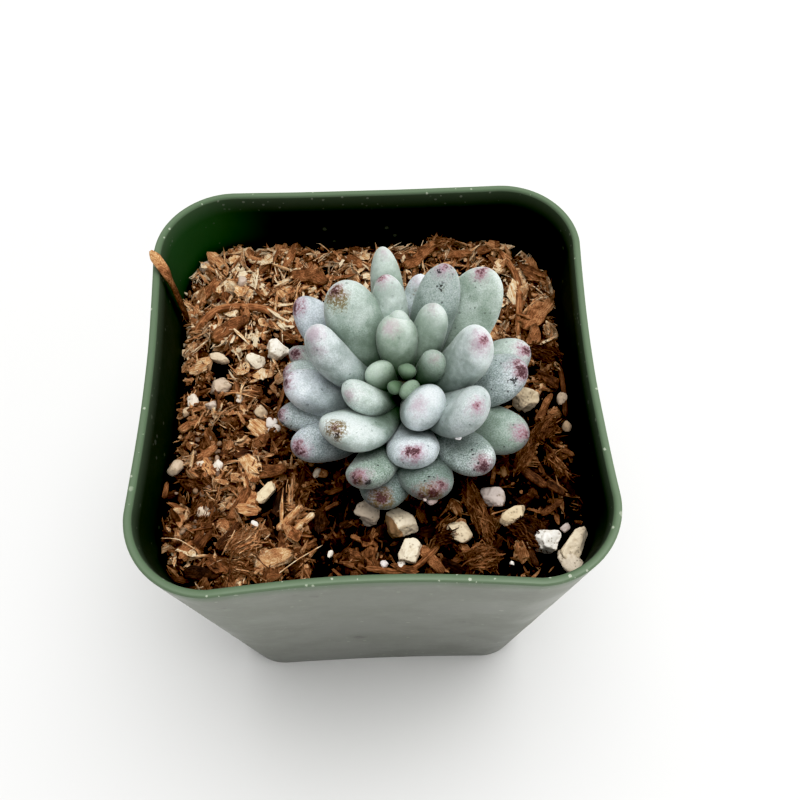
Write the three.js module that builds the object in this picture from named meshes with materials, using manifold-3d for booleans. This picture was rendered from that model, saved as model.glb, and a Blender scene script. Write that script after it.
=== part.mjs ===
// Small rosette succulent in a square plastic pot of bark-rich soil. Millimetres, +Z up.
// The origin is the centre of the pot's base and the pot's front wall faces -Y.
import * as THREE from "three";
import { mergeVertices } from "three/addons/utils/BufferGeometryUtils.js";
import Module from "manifold-3d";

const wasm = await Module();
wasm.setup();

// Pot: a thin tapered shell whose sides bow inwards a little between rounded corners.
const potHeight = 65.5;
const baseHalf = 26;
const rimHalf = 32;
const baseCorner = 7.6;
const rimCorner = 11.4;
const baseBow = 0.3;
const rimBow = { back: 0.2, left: 0.8, front: 1.2, right: 0.8 };
const wall = 1.1;
const floorThickness = 1.3;
const edgeRound = 0.35;
const drainRadius = 3;
const drainSpacing = 14;

// Gap kept between pieces that touch.
const gap = 0.3;

// Soil: the level of its surface, how far it falls to the back right, and its lumps.
const soilLevel = 55.1;
const soilFall = 0.012;
const lumpSize = 5.5;
const lumpHeight = 1.5;
const crumbSize = 2.4;
const crumbHeight = 0.9;
const dishRadius = 17;
const dishLevel = 54.1;
const terrainCells = 28;
const chipCount = 44;

// Plant: a short stem that leans slightly, with its foot in a plain hole in the soil.
const apex = new THREE.Vector3(4.7, -2.8, 66);
const foot = new THREE.Vector3(4.8, -1.8, 56);
const stemTopRadius = 1.95;
const stemFootRadius = 2.1;
const rootDepth = 9.5;
const leafSides = 12;
const leafRows = 8;
const budSides = 10;
const budRows = 6;

// Leaves, from the innermost out: azimuth, depth below the apex, elevation at the root and the
// rise of the curl (degrees), then length, width and thickness (mm), then the roll about the
// leaf's own line and the sideways bend along it (degrees).
const leaves = [
  [69, 0.6, 75, 0, 2.5, 2.6, 2, 0, -4],
  [220, 0.4, 33, -5, 2.5, 2, 1.6, 20, 10],
  [288, 1.2, 43, 25, 3, 3.2, 2.6, -20, 6],
  [172, 2.2, 40, 35, 5.5, 4.4, 2.6, 40, -20],
  [16, 1.8, 35, 50, 7, 4.2, 3, -20, -2],
  [203, 3.8, 10, 75, 9.5, 6.6, 4.2, -20, 2],
  [295, 3.4, 32, 40, 9, 7, 5.2, -30, -2],
  [98, 3, 53, 24, 10.5, 6, 5.6, -15, 10],
  [94, 4, 56, 15, 12, 4, 3.6, 20, 6],
  [57, 3.6, 43, 25, 13, 5, 4, 10, 2],
  [4, 4, 29, 60, 17, 7, 5, -10, -2],
  [321, 4.6, 11, 75, 16.5, 7.6, 5.2, -10, -4],
  [226, 4.8, -1, 65, 14.5, 9, 5, -20, -8],
  [274, 6, -6, 75, 13.5, 7.2, 4.6, 0, 2],
  [171, 4.8, 24, 60, 18.5, 5.4, 5.2, -20, -6],
  [132, 4.6, 36, 35, 18.5, 8, 6, 10, 6],
  [99, 5.8, 39, 30, 17.5, 5.2, 4.6, 0, 6],
  [64, 6, 40, 30, 20, 6.2, 5.2, -10, -6],
  [41, 6, 19, 45, 21.5, 8.2, 4.8, -10, 10],
  [2, 6.8, 7, 40, 17.5, 7.6, 5.4, 0, -2],
  [16, 7.8, 7, 20, 18.5, 6.8, 5.2, -20, 2],
  [335, 7.6, -1, 30, 18, 7.2, 5.4, -10, -4],
  [310, 7.8, 1, 40, 17, 6.4, 5.2, 0, 0],
  [280, 8.6, -5, 55, 17.5, 7.6, 4.8, 10, 2],
  [247, 8.4, -5, 70, 18.5, 6.6, 4.2, -20, 2],
  [256, 9, 1, 25, 17, 7.6, 4.6, 10, 0],
  [211, 8.8, -2, 35, 17.5, 6.6, 5, -10, -6],
  [182, 7.2, 2, 55, 17.5, 6.4, 5.8, -10, 0],
  [169, 8, 4, 25, 17, 6.2, 5, 10, 0],
  [190, 8.6, -3, 30, 17.5, 5.2, 5.2, 20, -2],
  [144, 7.6, 18, 30, 20.5, 6.4, 5, 0, -2],
  [156, 8.8, 5, 20, 17.5, 4.8, 4.6, 10, 0],
  [98, 8, 31, 28, 22, 4.8, 5.2, -10, 2],
  [78, 7.4, 30, 20, 17.5, 5, 4.6, 0, 2],
];

// Pale mineral grains that sit in the soil: x, y, half-sizes along, across and up, then the yaw.
const grains = [
  [23.5, -22.9, 1.7, 1.8, 1.8, 0],
  [27.1, -23.7, 1.4, 2.7, 1.6, -27],
  [16.7, -15.7, 1.5, 1.7, 1.4, 20],
  [11.3, -21.3, 1.7, 1.4, 1.2, -15],
  [19.3, -18.9, 1.9, 1.1, 1.0, 35],
  [3.6, -19.3, 2.3, 2.1, 2.0, 25],
  [-0.9, -17.4, 1.9, 1.8, 1.6, -30],
  [4.6, -23.8, 1.7, 1.5, 1.4, 60],
  [22.8, -0.4, 1.8, 1.8, 1.8, 0],
  [-14.3, 9.2, 1.6, 1.6, 1.4, 10],
  [-17.6, 7.3, 1.4, 1.2, 1.2, -30],
  [-23.2, 8.1, 1.6, 0.8, 0.9, -15],
  [-22.7, 3.2, 1.7, 1.3, 1.2, 0],
  [-15.3, -14.2, 1.7, 0.9, 1.0, 50],
];

// Chips of bark that show singly: x, y, length, width, thickness, yaw and tilt.
const placedChips = [
  [-15.2, -23.6, 7.0, 4.6, 1.6, 10, 6],
  [-19.0, -16.4, 6.0, 1.8, 1.0, 60, 8],
  [-19.9, -21.0, 4.4, 1.8, 1.0, 48, 8],
  [-23.1, -26.2, 5.2, 2.0, 1.0, -4, 10],
  [8.3, 26.0, 6.4, 2.4, 1.0, 34, 12],
  [26.4, 14.8, 7.6, 3.8, 0.9, -124, 10],
  [25.4, 23.6, 3.0, 1.6, 0.9, -40, 8],
  [14.6, -18.4, 8.4, 2.2, 0.9, -68, 10],
  [22.6, -13.8, 4.4, 1.5, 0.9, -48, 14],
  [25.4, -15.4, 3.2, 1.3, 0.8, -42, 10],
  [20.8, -21.6, 4.6, 3.2, 1.5, -50, 12],
  [14.2, -25.2, 4.2, 3.0, 1.6, 10, 6],
  [7.6, -24.9, 5.0, 1.8, 0.8, -55, 8],
  [24.6, 8.6, 7.0, 2.6, 1.0, 70, 8],
  [-9.6, 22.4, 6.6, 2.8, 1.2, -24, 10],
  [-21.6, 12.6, 6.2, 2.6, 1.1, 30, 8],
];

// Twigs and slivers: the points they run through, each raised above the soil, and the radius.
const twigs = [
  { radius: 0.65, points: [[-27.6, 13.1, 0.2], [-23.6, 16.9, 0.9], [-16.4, 16.8, 0.6], [-13.6, 13.4, 0.1]] },
  { radius: 0.5, points: [[21.3, 27.1, 0.3], [23.7, 20.3, 0.9], [22.8, 10.5, 0.2]] },
  { radius: 0.5, points: [[-13.6, -19.8, 0.1], [-11.8, -18.2, 0.7], [-10, -16.6, 1.1]] },
  { radius: 0.45, points: [[-12.2, -20.6, 0.1], [-10.3, -19.2, 0.6], [-8.4, -17.8, 0.9]] },
  { radius: 0.45, points: [[-4.2, -22.9, 0.2], [-2.1, -24.4, 0.5], [-0.4, -25.6, 0.2]] },
  { radius: 0.45, points: [[-4.9, -24.8, 0.1], [-0.3, -26.1, 0.5], [4.7, -26.1, 0.5], [8.9, -22.9, 0.2]] },
  { radius: 0.4, points: [[28.5, 4.6, 0.5], [28.6, 0.4, 0.7], [28.4, -3.8, 0.4]] },
];
const twigSides = 6;

// One sliver of wood stands in the soil and leans on the rim at the left.
const sliver = { radius: 0.55, points: [[-28.6, 15.8, 54], [-29.2, 16.6, 61], [-29.8, 17.2, 65.3], [-31.6, 19.2, 68]] };

const degrees = (angle) => THREE.MathUtils.degToRad(angle);

// A repeatable stream of numbers from 0 to 1.
function makeRandom(seed) {
  let state = seed;
  return () => {
    state = (state * 16807) % 2147483647;
    return state / 2147483647;
  };
}

function toSolid(geometry) {
  const bare = geometry.clone();
  bare.deleteAttribute("normal");
  bare.deleteAttribute("uv");
  const merged = mergeVertices(bare, 1e-5);
  return new wasm.Manifold(
    new wasm.Mesh({
      numProp: 3,
      vertProperties: new Float32Array(merged.attributes.position.array),
      triVerts: new Uint32Array(merged.index.array),
    }),
  );
}

function toGeometry(solid) {
  const mesh = solid.getMesh();
  const geometry = new THREE.BufferGeometry();
  geometry.setAttribute("position", new THREE.BufferAttribute(mesh.vertProperties, 3));
  geometry.setIndex(new THREE.BufferAttribute(mesh.triVerts, 1));
  geometry.computeVertexNormals();
  return geometry;
}

function moveVertices(geometry, move) {
  const position = geometry.attributes.position;
  const point = new THREE.Vector3();
  for (let i = 0; i < position.count; i += 1) {
    point.fromBufferAttribute(position, i);
    move(point);
    position.setXYZ(i, point.x, point.y, point.z);
  }
  return geometry;
}

function joinAll(solids) {
  return solids.reduce((joined, solid) => joined.add(solid));
}

// The pot's cross-section at a height, moved inwards by inset: a rounded square whose sides
// bow inwards, as points counter-clockwise from the right-hand side.
const cornerSteps = 7;
const sideSteps = 4;
const sectionPoints = 4 * (cornerSteps + sideSteps);

function potSection(z, inset) {
  const rise = Math.min(z / potHeight, 1);
  const half = THREE.MathUtils.lerp(baseHalf, rimHalf, rise) - inset;
  const corner = THREE.MathUtils.lerp(baseCorner, rimCorner, rise) - inset;
  const points = [];
  ["back", "left", "front", "right"].forEach((side, quadrant) => {
    const turn = degrees(90 * quadrant);
    const along = new THREE.Vector2(half - corner, half - corner);
    for (let i = 0; i <= cornerSteps; i += 1) {
      const angle = degrees((90 * i) / cornerSteps);
      const point = new THREE.Vector2(Math.cos(angle), Math.sin(angle)).multiplyScalar(corner).add(along);
      points.push(point.rotateAround(new THREE.Vector2(), turn));
    }
    const bow = THREE.MathUtils.lerp(baseBow, rimBow[side], rise);
    for (let i = 1; i < sideSteps; i += 1) {
      const part = i / sideSteps;
      const point = new THREE.Vector2((half - corner) * (1 - 2 * part), half - bow * Math.sin(Math.PI * part));
      points.push(point.rotateAround(new THREE.Vector2(), turn));
    }
  });
  return points;
}

// A closed solid through pot sections, from a cylinder whose rows are given as [z, inset].
function potSolid(rows) {
  const levels = rows.length - 1;
  const tube = new THREE.CylinderGeometry(1, 1, levels, sectionPoints, levels);
  tube.rotateX(Math.PI / 2);
  moveVertices(tube, (point) => {
    const [z, inset] = rows[Math.round(point.z + levels / 2)];
    if (Math.hypot(point.x, point.y) < 0.5) {
      point.set(0, 0, z);
      return;
    }
    const step = Math.round((Math.atan2(point.y, point.x) / (2 * Math.PI)) * sectionPoints);
    const edge = potSection(z, inset)[(step + sectionPoints) % sectionPoints];
    point.set(edge.x, edge.y, z);
  });
  return toSolid(tube);
}

function makePot() {
  const shell = potSolid([
    [0, edgeRound],
    [edgeRound, 0],
    [potHeight - edgeRound, 0],
    [potHeight, edgeRound],
  ]);
  const cavity = potSolid([
    [floorThickness, wall + edgeRound * 2],
    [floorThickness + edgeRound * 2, wall],
    [potHeight - edgeRound, wall],
    [potHeight + edgeRound, wall - edgeRound * 2],
  ]);
  const drains = [[0, 0], [1, 1], [-1, 1], [-1, -1], [1, -1]].map(([x, y]) => {
    const drill = new THREE.CylinderGeometry(drainRadius, drainRadius, floorThickness * 4, 20);
    drill.rotateX(Math.PI / 2);
    drill.translate(x * drainSpacing, y * drainSpacing, 0);
    return toSolid(drill);
  });
  return toGeometry(shell.subtract(cavity).subtract(joinAll(drains)));
}

// Smooth lumps: random heights on a square lattice, blended between its points.
function makeLumps(size, seed) {
  const random = makeRandom(seed);
  const count = 40;
  const lattice = Array.from({ length: count * count }, () => random() * 2 - 1);
  const at = (i, j) => lattice[((i + count) % count) * count + ((j + count) % count)];
  return (x, y) => {
    const i = Math.floor(x / size);
    const j = Math.floor(y / size);
    const u = THREE.MathUtils.smoothstep(x / size - i, 0, 1);
    const v = THREE.MathUtils.smoothstep(y / size - j, 0, 1);
    const near = THREE.MathUtils.lerp(at(i, j), at(i + 1, j), u);
    const far = THREE.MathUtils.lerp(at(i, j + 1), at(i + 1, j + 1), u);
    return THREE.MathUtils.lerp(near, far, v);
  };
}

const lumps = makeLumps(lumpSize, 11);
const crumbs = makeLumps(crumbSize, 29);

function stemDistance(x, y) {
  return Math.hypot(x - foot.x, y - foot.y);
}

// The soil's surface. It dips to a shallow dish below the leaves.
function soilHeight(x, y) {
  const rough = lumpHeight * 0.5 * lumps(x, y) + crumbHeight * 0.5 * crumbs(x, y);
  const open = soilLevel - soilFall * (x + y) + rough;
  const dish = dishLevel + rough * 0.3;
  const edge = THREE.MathUtils.smoothstep(stemDistance(x, y), dishRadius - 3, dishRadius + 3);
  return THREE.MathUtils.lerp(Math.min(dish, open), open, edge);
}

function chipSolid([x, y, length, width, thickness, yaw, tilt]) {
  const chip = new THREE.BoxGeometry(length, width, thickness);
  moveVertices(chip, (point) => {
    const taper = point.x > 0 ? 0.7 : 1;
    point.y *= taper;
    point.z *= point.y > 0 ? 1 : 0.8;
  });
  chip.rotateX(degrees(tilt * 0.8));
  chip.rotateY(degrees(-tilt));
  chip.rotateZ(degrees(yaw));
  chip.translate(x, y, soilHeight(x, y) + thickness * 0.25);
  return toSolid(chip);
}

function scatteredChips() {
  const random = makeRandom(5);
  const chips = [];
  while (chips.length < chipCount) {
    const x = (random() - 0.5) * 56;
    const y = (random() - 0.5) * 56;
    const length = 3 + 4 * random();
    const width = 1.4 + 1.6 * random();
    const yaw = 180 * random();
    const tilt = 6 + 14 * random();
    const clearOfGrains = grains.every(([gx, gy]) => Math.hypot(x - gx, y - gy) > 3.6);
    if (clearOfGrains && stemDistance(x, y) > dishRadius + 1) {
      chips.push([x, y, length, width, 1, yaw, tilt]);
    }
  }
  return chips;
}

// A bent round bar along its points, thinner at its ends.
function barSolid(points, radius) {
  const curve = new THREE.CatmullRomCurve3(points);
  const rows = 6;
  const frames = curve.computeFrenetFrames(rows, false);
  const bar = new THREE.CylinderGeometry(radius, radius, rows, twigSides, rows);
  moveVertices(bar, (point) => {
    const row = Math.round(point.y + rows / 2);
    const thin = row === 0 || row === rows ? 0.6 : 1;
    const centre = curve.getPointAt(row / rows);
    const across = frames.normals[row].clone().multiplyScalar(point.z * thin);
    const up = frames.binormals[row].clone().multiplyScalar(point.x * thin);
    point.copy(centre).add(across).add(up);
  });
  return toSolid(bar);
}

// A pebble with worn facets. Growing it by a margin gives the socket that it sits in.
function grainSolid([x, y, along, across, up, yaw], index, margin) {
  const random = makeRandom(101 + index * 17);
  const pebble = new THREE.IcosahedronGeometry(1, 1);
  const dents = Array.from({ length: 5 }, () => ({
    axis: new THREE.Vector3(random() - 0.5, random() - 0.5, random() - 0.5).normalize(),
    depth: 0.12 + 0.16 * random(),
  }));
  moveVertices(pebble, (point) => {
    const direction = point.clone().normalize();
    dents.forEach((dent) => {
      const over = direction.dot(dent.axis) - 0.45;
      if (over > 0) point.addScaledVector(direction, -dent.depth * over);
    });
    point.set(point.x * (along + margin), point.y * (across + margin), point.z * (up + margin));
  });
  pebble.rotateZ(degrees(yaw));
  pebble.translate(x, y, soilHeight(x, y) + up * 0.3);
  return toSolid(pebble);
}

// Growing the sliver by a margin gives the hole that its foot stands in.
function sliverSolid(margin) {
  const points = sliver.points.map((point) => new THREE.Vector3(...point));
  points[0].z -= margin;
  return barSolid(points, sliver.radius + margin);
}

function stemSolid(margin) {
  const bottom = new THREE.Vector3(foot.x, foot.y, foot.z - rootDepth - margin);
  const profile = [
    new THREE.Vector2(0, bottom.z),
    new THREE.Vector2(stemFootRadius * 0.7 + margin, bottom.z),
    new THREE.Vector2(stemFootRadius + margin, foot.z - rootDepth * 0.6),
    new THREE.Vector2(stemFootRadius + margin, foot.z),
    new THREE.Vector2(stemTopRadius + margin, apex.z - 4),
    new THREE.Vector2(stemTopRadius * 0.75 + margin, apex.z - 1.6),
    new THREE.Vector2(0, apex.z - 0.8),
  ];
  const stem = new THREE.LatheGeometry(profile, leafSides);
  stem.rotateX(Math.PI / 2);
  moveVertices(stem, (point) => {
    const rise = Math.max(0, (point.z - foot.z) / (apex.z - foot.z));
    point.x += THREE.MathUtils.lerp(foot.x, apex.x, rise);
    point.y += THREE.MathUtils.lerp(foot.y, apex.y, rise);
  });
  return toSolid(stem);
}

// A fat leaf that swells towards its tip and curls upwards, from a ball whose poles are its
// root and its tip. The root is sunk into the stem.
const widestAt = 0.64;
const rootWidthShare = 0.38;
const rootThicknessShare = 0.48;
const rootOffset = 1.2;
const budOffset = 0.6;
const budDepth = 1.5;

function leafSolid([azimuth, depth, elevation, curl, length, width, thickness, roll, bend]) {
  const small = length < 7;
  const rows = small ? budRows : leafRows;
  const ball = new THREE.SphereGeometry(1, small ? budSides : leafSides, rows);
  const directionAt = (u) => {
    const heading = degrees(azimuth + bend * u);
    const rise = degrees(elevation + curl * u);
    return new THREE.Vector3(Math.cos(heading) * Math.cos(rise), Math.sin(heading) * Math.cos(rise), Math.sin(rise));
  };
  const start = new THREE.Vector3().lerpVectors(apex, foot, depth / 10);
  start.z = apex.z - depth;
  start.addScaledVector(directionAt(0).setZ(0).normalize(), depth < budDepth ? budOffset : rootOffset);
  const centreAt = (u) => {
    const centre = start.clone();
    const steps = 24;
    for (let i = 0; i < steps; i += 1) {
      centre.addScaledVector(directionAt((u * (i + 0.5)) / steps), (length * u) / steps);
    }
    return centre;
  };
  const stations = Array.from({ length: rows + 1 }, (_, row) => {
    const fromRoot = rows - row;
    const u = fromRoot === 0 ? 0 : Math.sin(((fromRoot - 1) / (rows - 1)) * Math.PI / 2) ** 0.9;
    const swell = Math.sin((Math.PI / 2) * Math.min(u / widestAt, 1));
    const past = Math.max(0, u - widestAt) / (1 - widestAt);
    const cap = fromRoot === 0 ? 0 : Math.sqrt(Math.max(0, 1 - past ** 2.3));
    const direction = directionAt(u);
    const across = new THREE.Vector3(-direction.y, direction.x, 0).normalize();
    return {
      centre: centreAt(u),
      across: across.clone().applyAxisAngle(direction, degrees(-roll)),
      up: direction.clone().cross(across).applyAxisAngle(direction, degrees(-roll)),
      halfWidth: (width / 2) * THREE.MathUtils.lerp(rootWidthShare, 1, swell) * cap,
      halfThickness: (thickness / 2) * THREE.MathUtils.lerp(rootThicknessShare, 1, swell) * cap,
    };
  });
  moveVertices(ball, (point) => {
    const row = Math.round((Math.acos(THREE.MathUtils.clamp(point.y, -1, 1)) / Math.PI) * rows);
    const station = stations[row];
    const turn = Math.atan2(-point.z, point.x);
    const bulge = Math.sin(turn) > 0 ? 0.85 : 1.1;
    point.copy(station.centre);
    point.addScaledVector(station.across, Math.cos(turn) * station.halfWidth);
    point.addScaledVector(station.up, Math.sin(turn) * bulge * station.halfThickness);
  });
  return toSolid(ball);
}

function makePlant() {
  return toGeometry(joinAll([stemSolid(0), ...leaves.map(leafSolid)]));
}

// The soil fills the pot to its own gap from the walls and floor, and holds chips and twigs.
function makeSoil() {
  const side = 2 * rimHalf;
  const terrain = new THREE.BoxGeometry(side, side, 2, terrainCells, terrainCells, 1);
  moveVertices(terrain, (point) => {
    point.z = point.z > 0 ? soilHeight(point.x, point.y) : -1;
  });
  const chips = [...scatteredChips(), ...placedChips].map(chipSolid);
  const bars = twigs.map(({ radius, points }) =>
    barSolid(points.map(([x, y, lift]) => new THREE.Vector3(x, y, soilHeight(x, y) + lift)), radius),
  );
  const inside = potSolid([
    [floorThickness + gap, wall + gap + edgeRound * 2],
    [floorThickness + gap + edgeRound * 2, wall + gap],
    [potHeight, wall + gap],
  ]);
  const sockets = grains.map((grain, index) => grainSolid(grain, index, gap * 1.4));
  const filled = joinAll([toSolid(terrain), ...chips, ...bars]).intersect(inside);
  return toGeometry(filled.subtract(joinAll([stemSolid(gap), sliverSolid(gap * 2), ...sockets])));
}

const potMaterial = new THREE.MeshStandardMaterial({ color: 0x2f4a38, roughness: 0.35, metalness: 0 });
const soilMaterial = new THREE.MeshStandardMaterial({ color: 0x3d2819, roughness: 0.95, metalness: 0 });
const woodMaterial = new THREE.MeshStandardMaterial({ color: 0x9a6234, roughness: 0.85, metalness: 0 });
const leafMaterial = new THREE.MeshStandardMaterial({ color: 0xa9c2b4, roughness: 0.6, metalness: 0 });
const grainMaterial = new THREE.MeshStandardMaterial({ color: 0xe6dfd0, roughness: 0.9, metalness: 0 });

const model = new THREE.Group();

function addPiece(name, geometry, material) {
  const mesh = new THREE.Mesh(geometry, material.clone());
  mesh.name = name;
  model.add(mesh);
}

addPiece("pot", makePot(), potMaterial);
addPiece("soil", makeSoil(), soilMaterial);
addPiece("plant", makePlant(), leafMaterial);
addPiece("sliver", toGeometry(sliverSolid(0)), woodMaterial);
grains.forEach((grain, index) => {
  const name = `perlite_${String(index + 1).padStart(2, "0")}`;
  addPiece(name, toGeometry(grainSolid(grain, index, 0)), grainMaterial);
});

export default model;
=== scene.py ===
import bisect
import math

import bmesh
import bpy
from mathutils import Matrix, Vector, noise


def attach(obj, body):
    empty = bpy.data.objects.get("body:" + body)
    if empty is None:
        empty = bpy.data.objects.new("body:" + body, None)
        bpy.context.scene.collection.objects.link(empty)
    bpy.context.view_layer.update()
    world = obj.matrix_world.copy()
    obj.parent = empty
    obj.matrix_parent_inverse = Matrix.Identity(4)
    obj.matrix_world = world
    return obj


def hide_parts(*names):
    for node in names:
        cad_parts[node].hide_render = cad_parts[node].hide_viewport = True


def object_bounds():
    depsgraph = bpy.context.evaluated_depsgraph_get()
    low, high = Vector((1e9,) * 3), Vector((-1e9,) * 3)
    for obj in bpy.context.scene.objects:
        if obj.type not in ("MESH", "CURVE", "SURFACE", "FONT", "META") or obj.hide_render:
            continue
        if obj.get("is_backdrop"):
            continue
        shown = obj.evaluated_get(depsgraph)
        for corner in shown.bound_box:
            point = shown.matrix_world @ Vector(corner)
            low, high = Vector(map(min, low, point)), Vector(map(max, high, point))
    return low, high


# A small rosette succulent in a square pot of bark-rich soil. Sizes are in millimetres, angles
# in degrees; X points right, Y back and Z up.
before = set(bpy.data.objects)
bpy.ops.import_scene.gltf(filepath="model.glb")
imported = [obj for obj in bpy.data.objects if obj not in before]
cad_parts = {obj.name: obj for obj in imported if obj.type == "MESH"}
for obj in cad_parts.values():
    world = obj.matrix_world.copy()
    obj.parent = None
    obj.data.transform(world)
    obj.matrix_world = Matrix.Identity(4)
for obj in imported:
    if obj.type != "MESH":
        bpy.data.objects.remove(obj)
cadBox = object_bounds()
scene = bpy.context.scene
mm = 0.001
print("frame loaded")

# Camera, at the height and tilt that the pot's rim and base give.
cameraValues = {
    "place": (2.25, -63.25, 173.45),
    "lookDown": 61.85,
    "turn": -1.72,
    "roll": -0.35,
    "lens": 40.5,
    "sensorWidth": 36.0,
    "nearest": 5.0,
}


def makeCamera(v):
    data = bpy.data.cameras.new("camera")
    data.lens = v["lens"]
    data.sensor_width = v["sensorWidth"]
    data.clip_start = v["nearest"] * mm
    camera = bpy.data.objects.new("camera", data)
    scene.collection.objects.link(camera)
    turn = Matrix.Rotation(math.radians(v["turn"]), 4, "Z")
    tilt = Matrix.Rotation(math.radians(90.0 - v["lookDown"]), 4, "X")
    roll = Matrix.Rotation(math.radians(v["roll"]), 4, "Z")
    camera.matrix_world = Matrix.Translation(Vector(v["place"]) * mm) @ turn @ tilt @ roll
    scene.camera = camera


makeCamera(cameraValues)


# Helpers that several pieces share.
def lerp(a, b, t):
    return a + (b - a) * t


def smoothStep(x, low, high):
    t = min(max((x - low) / (high - low), 0.0), 1.0)
    return t * t * (3.0 - 2.0 * t)


def wobble(x, y, z, size, seed):
    return noise.noise(Vector((x / size + seed * 7.3, y / size - seed * 3.1, z / size + seed)))


def makeMesh(name, vertices, faces):
    mesh = bpy.data.meshes.new(name)
    mesh.from_pydata([Vector(p) * mm for p in vertices], [], faces)
    mesh.validate()
    mesh.shade_smooth()
    return mesh


def addValues(mesh, name, values):
    attribute = mesh.attributes.new(name, "FLOAT", "POINT")
    attribute.data.foreach_set("value", values)


def addVectors(mesh, name, values):
    attribute = mesh.attributes.new(name, "FLOAT_VECTOR", "POINT")
    attribute.data.foreach_set("vector", [part for value in values for part in value])


def makePiece(name, mesh, material):
    piece = bpy.data.objects.new(name, mesh)
    scene.collection.objects.link(piece)
    mesh.materials.clear()
    mesh.materials.append(material)
    return piece


def settle(piece, slotName, *nodes):
    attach(piece, "root")
    if nodes:
        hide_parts(*nodes)


def bakeModifiers(piece):
    # the evaluated mesh takes the place of the modifiers
    graph = bpy.context.evaluated_depsgraph_get()
    graph.update()
    mesh = bpy.data.meshes.new_from_object(piece.evaluated_get(graph), preserve_all_data_layers=True,
                                           depsgraph=graph)
    piece.modifiers.clear()
    piece.data = mesh
    mesh.name = piece.name


def around(sides):
    # the angles of evenly spaced points round a ring
    return [2 * math.pi * i / sides for i in range(sides)]


def tubeFaces(first, rings, sides):
    # quads between rings of points, then a face over each end
    faces = []
    for ring in range(rings - 1):
        low = first + ring * sides
        high = low + sides
        faces += [(low + i, low + (i + 1) % sides, high + (i + 1) % sides, high + i) for i in range(sides)]
    last = first + (rings - 1) * sides
    faces.append(tuple(reversed(range(first, first + sides))))
    faces.append(tuple(range(last, last + sides)))
    return faces


def makeBall(subdivisions):
    # the points and the faces of a round ball of radius 1
    ball = bmesh.new()
    bmesh.ops.create_icosphere(ball, subdivisions=subdivisions, radius=1.0)
    points = [vertex.co.copy() for vertex in ball.verts]
    faces = [tuple(vertex.index for vertex in face.verts) for face in ball.faces]
    ball.free()
    return points, faces


def makeRandom(seed):
    state = seed
    while True:
        state = (state * 16807) % 2147483647
        yield state / 2147483647


class Nodes:
    # adds nodes to one tree; an input is a plain value or another node's output
    def __init__(self, tree):
        self.tree = tree

    def feed(self, socket, value):
        if isinstance(value, bpy.types.NodeSocket):
            self.tree.links.new(value, socket)
        elif socket.type == "RGBA":
            socket.default_value = (*value, 1.0)
        else:
            socket.default_value = value

    def add(self, kind, inputs=None, **settings):
        node = self.tree.nodes.new(kind)
        for key, value in settings.items():
            setattr(node, key, value)
        for key, value in (inputs or {}).items():
            self.feed(node.inputs[key], value)
        return node

    def maths(self, operation, a, b, clamp=False):
        return self.add("ShaderNodeMath", {0: a, 1: b}, operation=operation, use_clamp=clamp).outputs[0]

    def plus(self, a, b):
        return self.maths("ADD", a, b)

    def minus(self, a, b):
        return self.maths("SUBTRACT", a, b)

    def times(self, a, b, clamp=False):
        return self.maths("MULTIPLY", a, b, clamp)

    def vector(self, operation, a, b):
        return self.add("ShaderNodeVectorMath", {0: a, 1: b}, operation=operation).outputs

    def split(self, vector):
        return self.add("ShaderNodeSeparateXYZ", {0: vector}).outputs

    def span(self, value, low, high, toLow=0.0, toHigh=1.0):
        # a smooth rise from one pair of values to another
        inputs = {"Value": value, "From Min": low, "From Max": high, "To Min": toLow, "To Max": toHigh}
        return self.add("ShaderNodeMapRange", inputs, interpolation_type="SMOOTHSTEP").outputs["Result"]

    def mix(self, factor, a, b, blend="MIX"):
        inputs = {0: factor, 6: a, 7: b}
        return self.add("ShaderNodeMix", inputs, data_type="RGBA", blend_type=blend).outputs[2]

    def grain(self, place, scale, detail=4.0, roughness=0.6):
        inputs = {"Vector": place, "Scale": scale, "Detail": detail, "Roughness": roughness}
        return self.add("ShaderNodeTexNoise", inputs).outputs["Fac"]

    def attribute(self, name, output="Fac"):
        return self.add("ShaderNodeAttribute", attribute_name=name).outputs[output]

    def objectPlace(self):
        return self.add("ShaderNodeTexCoord").outputs["Object"]

    def ramp(self, value, stops):
        node = self.add("ShaderNodeValToRGB", {"Fac": value})
        elements = node.color_ramp.elements
        while len(elements) < len(stops):
            elements.new(0.5)
        for element, (place, colour) in zip(elements, stops):
            element.position = place
            element.color = (*colour, 1.0)
        return node.outputs["Color"]

    def bump(self, height, strength, distance):
        inputs = {"Strength": strength, "Distance": distance, "Height": height}
        return self.add("ShaderNodeBump", inputs).outputs["Normal"]

    def mask(self, group, **values):
        return self.add("ShaderNodeGroup", values, node_tree=group).outputs["Mask"]


def newMaterial(name, roughness, specular=0.5):
    material = bpy.data.materials.new(name)
    material.use_nodes = True
    skin = material.node_tree.nodes["Principled BSDF"].inputs
    skin["Roughness"].default_value = roughness
    skin["Specular IOR Level"].default_value = specular
    return material, Nodes(material.node_tree), skin


def newMaskGroup(name, **defaults):
    # a shader group that turns a place and some named values into one mask
    group = bpy.data.node_groups.new(name, "ShaderNodeTree")
    group.interface.new_socket("Place", in_out="INPUT", socket_type="NodeSocketVector")
    for key, value in defaults.items():
        socket = group.interface.new_socket(key, in_out="INPUT", socket_type="NodeSocketFloat")
        socket.default_value = value
    group.interface.new_socket("Mask", in_out="OUTPUT", socket_type="NodeSocketFloat")
    nodes = Nodes(group)
    return group, nodes, nodes.add("NodeGroupInput").outputs, nodes.add("NodeGroupOutput").inputs["Mask"]


def makeCloudGroup():
    # patches with soft or crisp edges
    group, nodes, into, out = newMaskGroup("cloudPatches", Scale=400.0, Low=0.4, High=0.6)
    cloud = nodes.grain(into["Place"], into["Scale"], 5.0, 0.62)
    nodes.feed(out, nodes.span(cloud, into["Low"], into["High"]))
    return group


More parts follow.
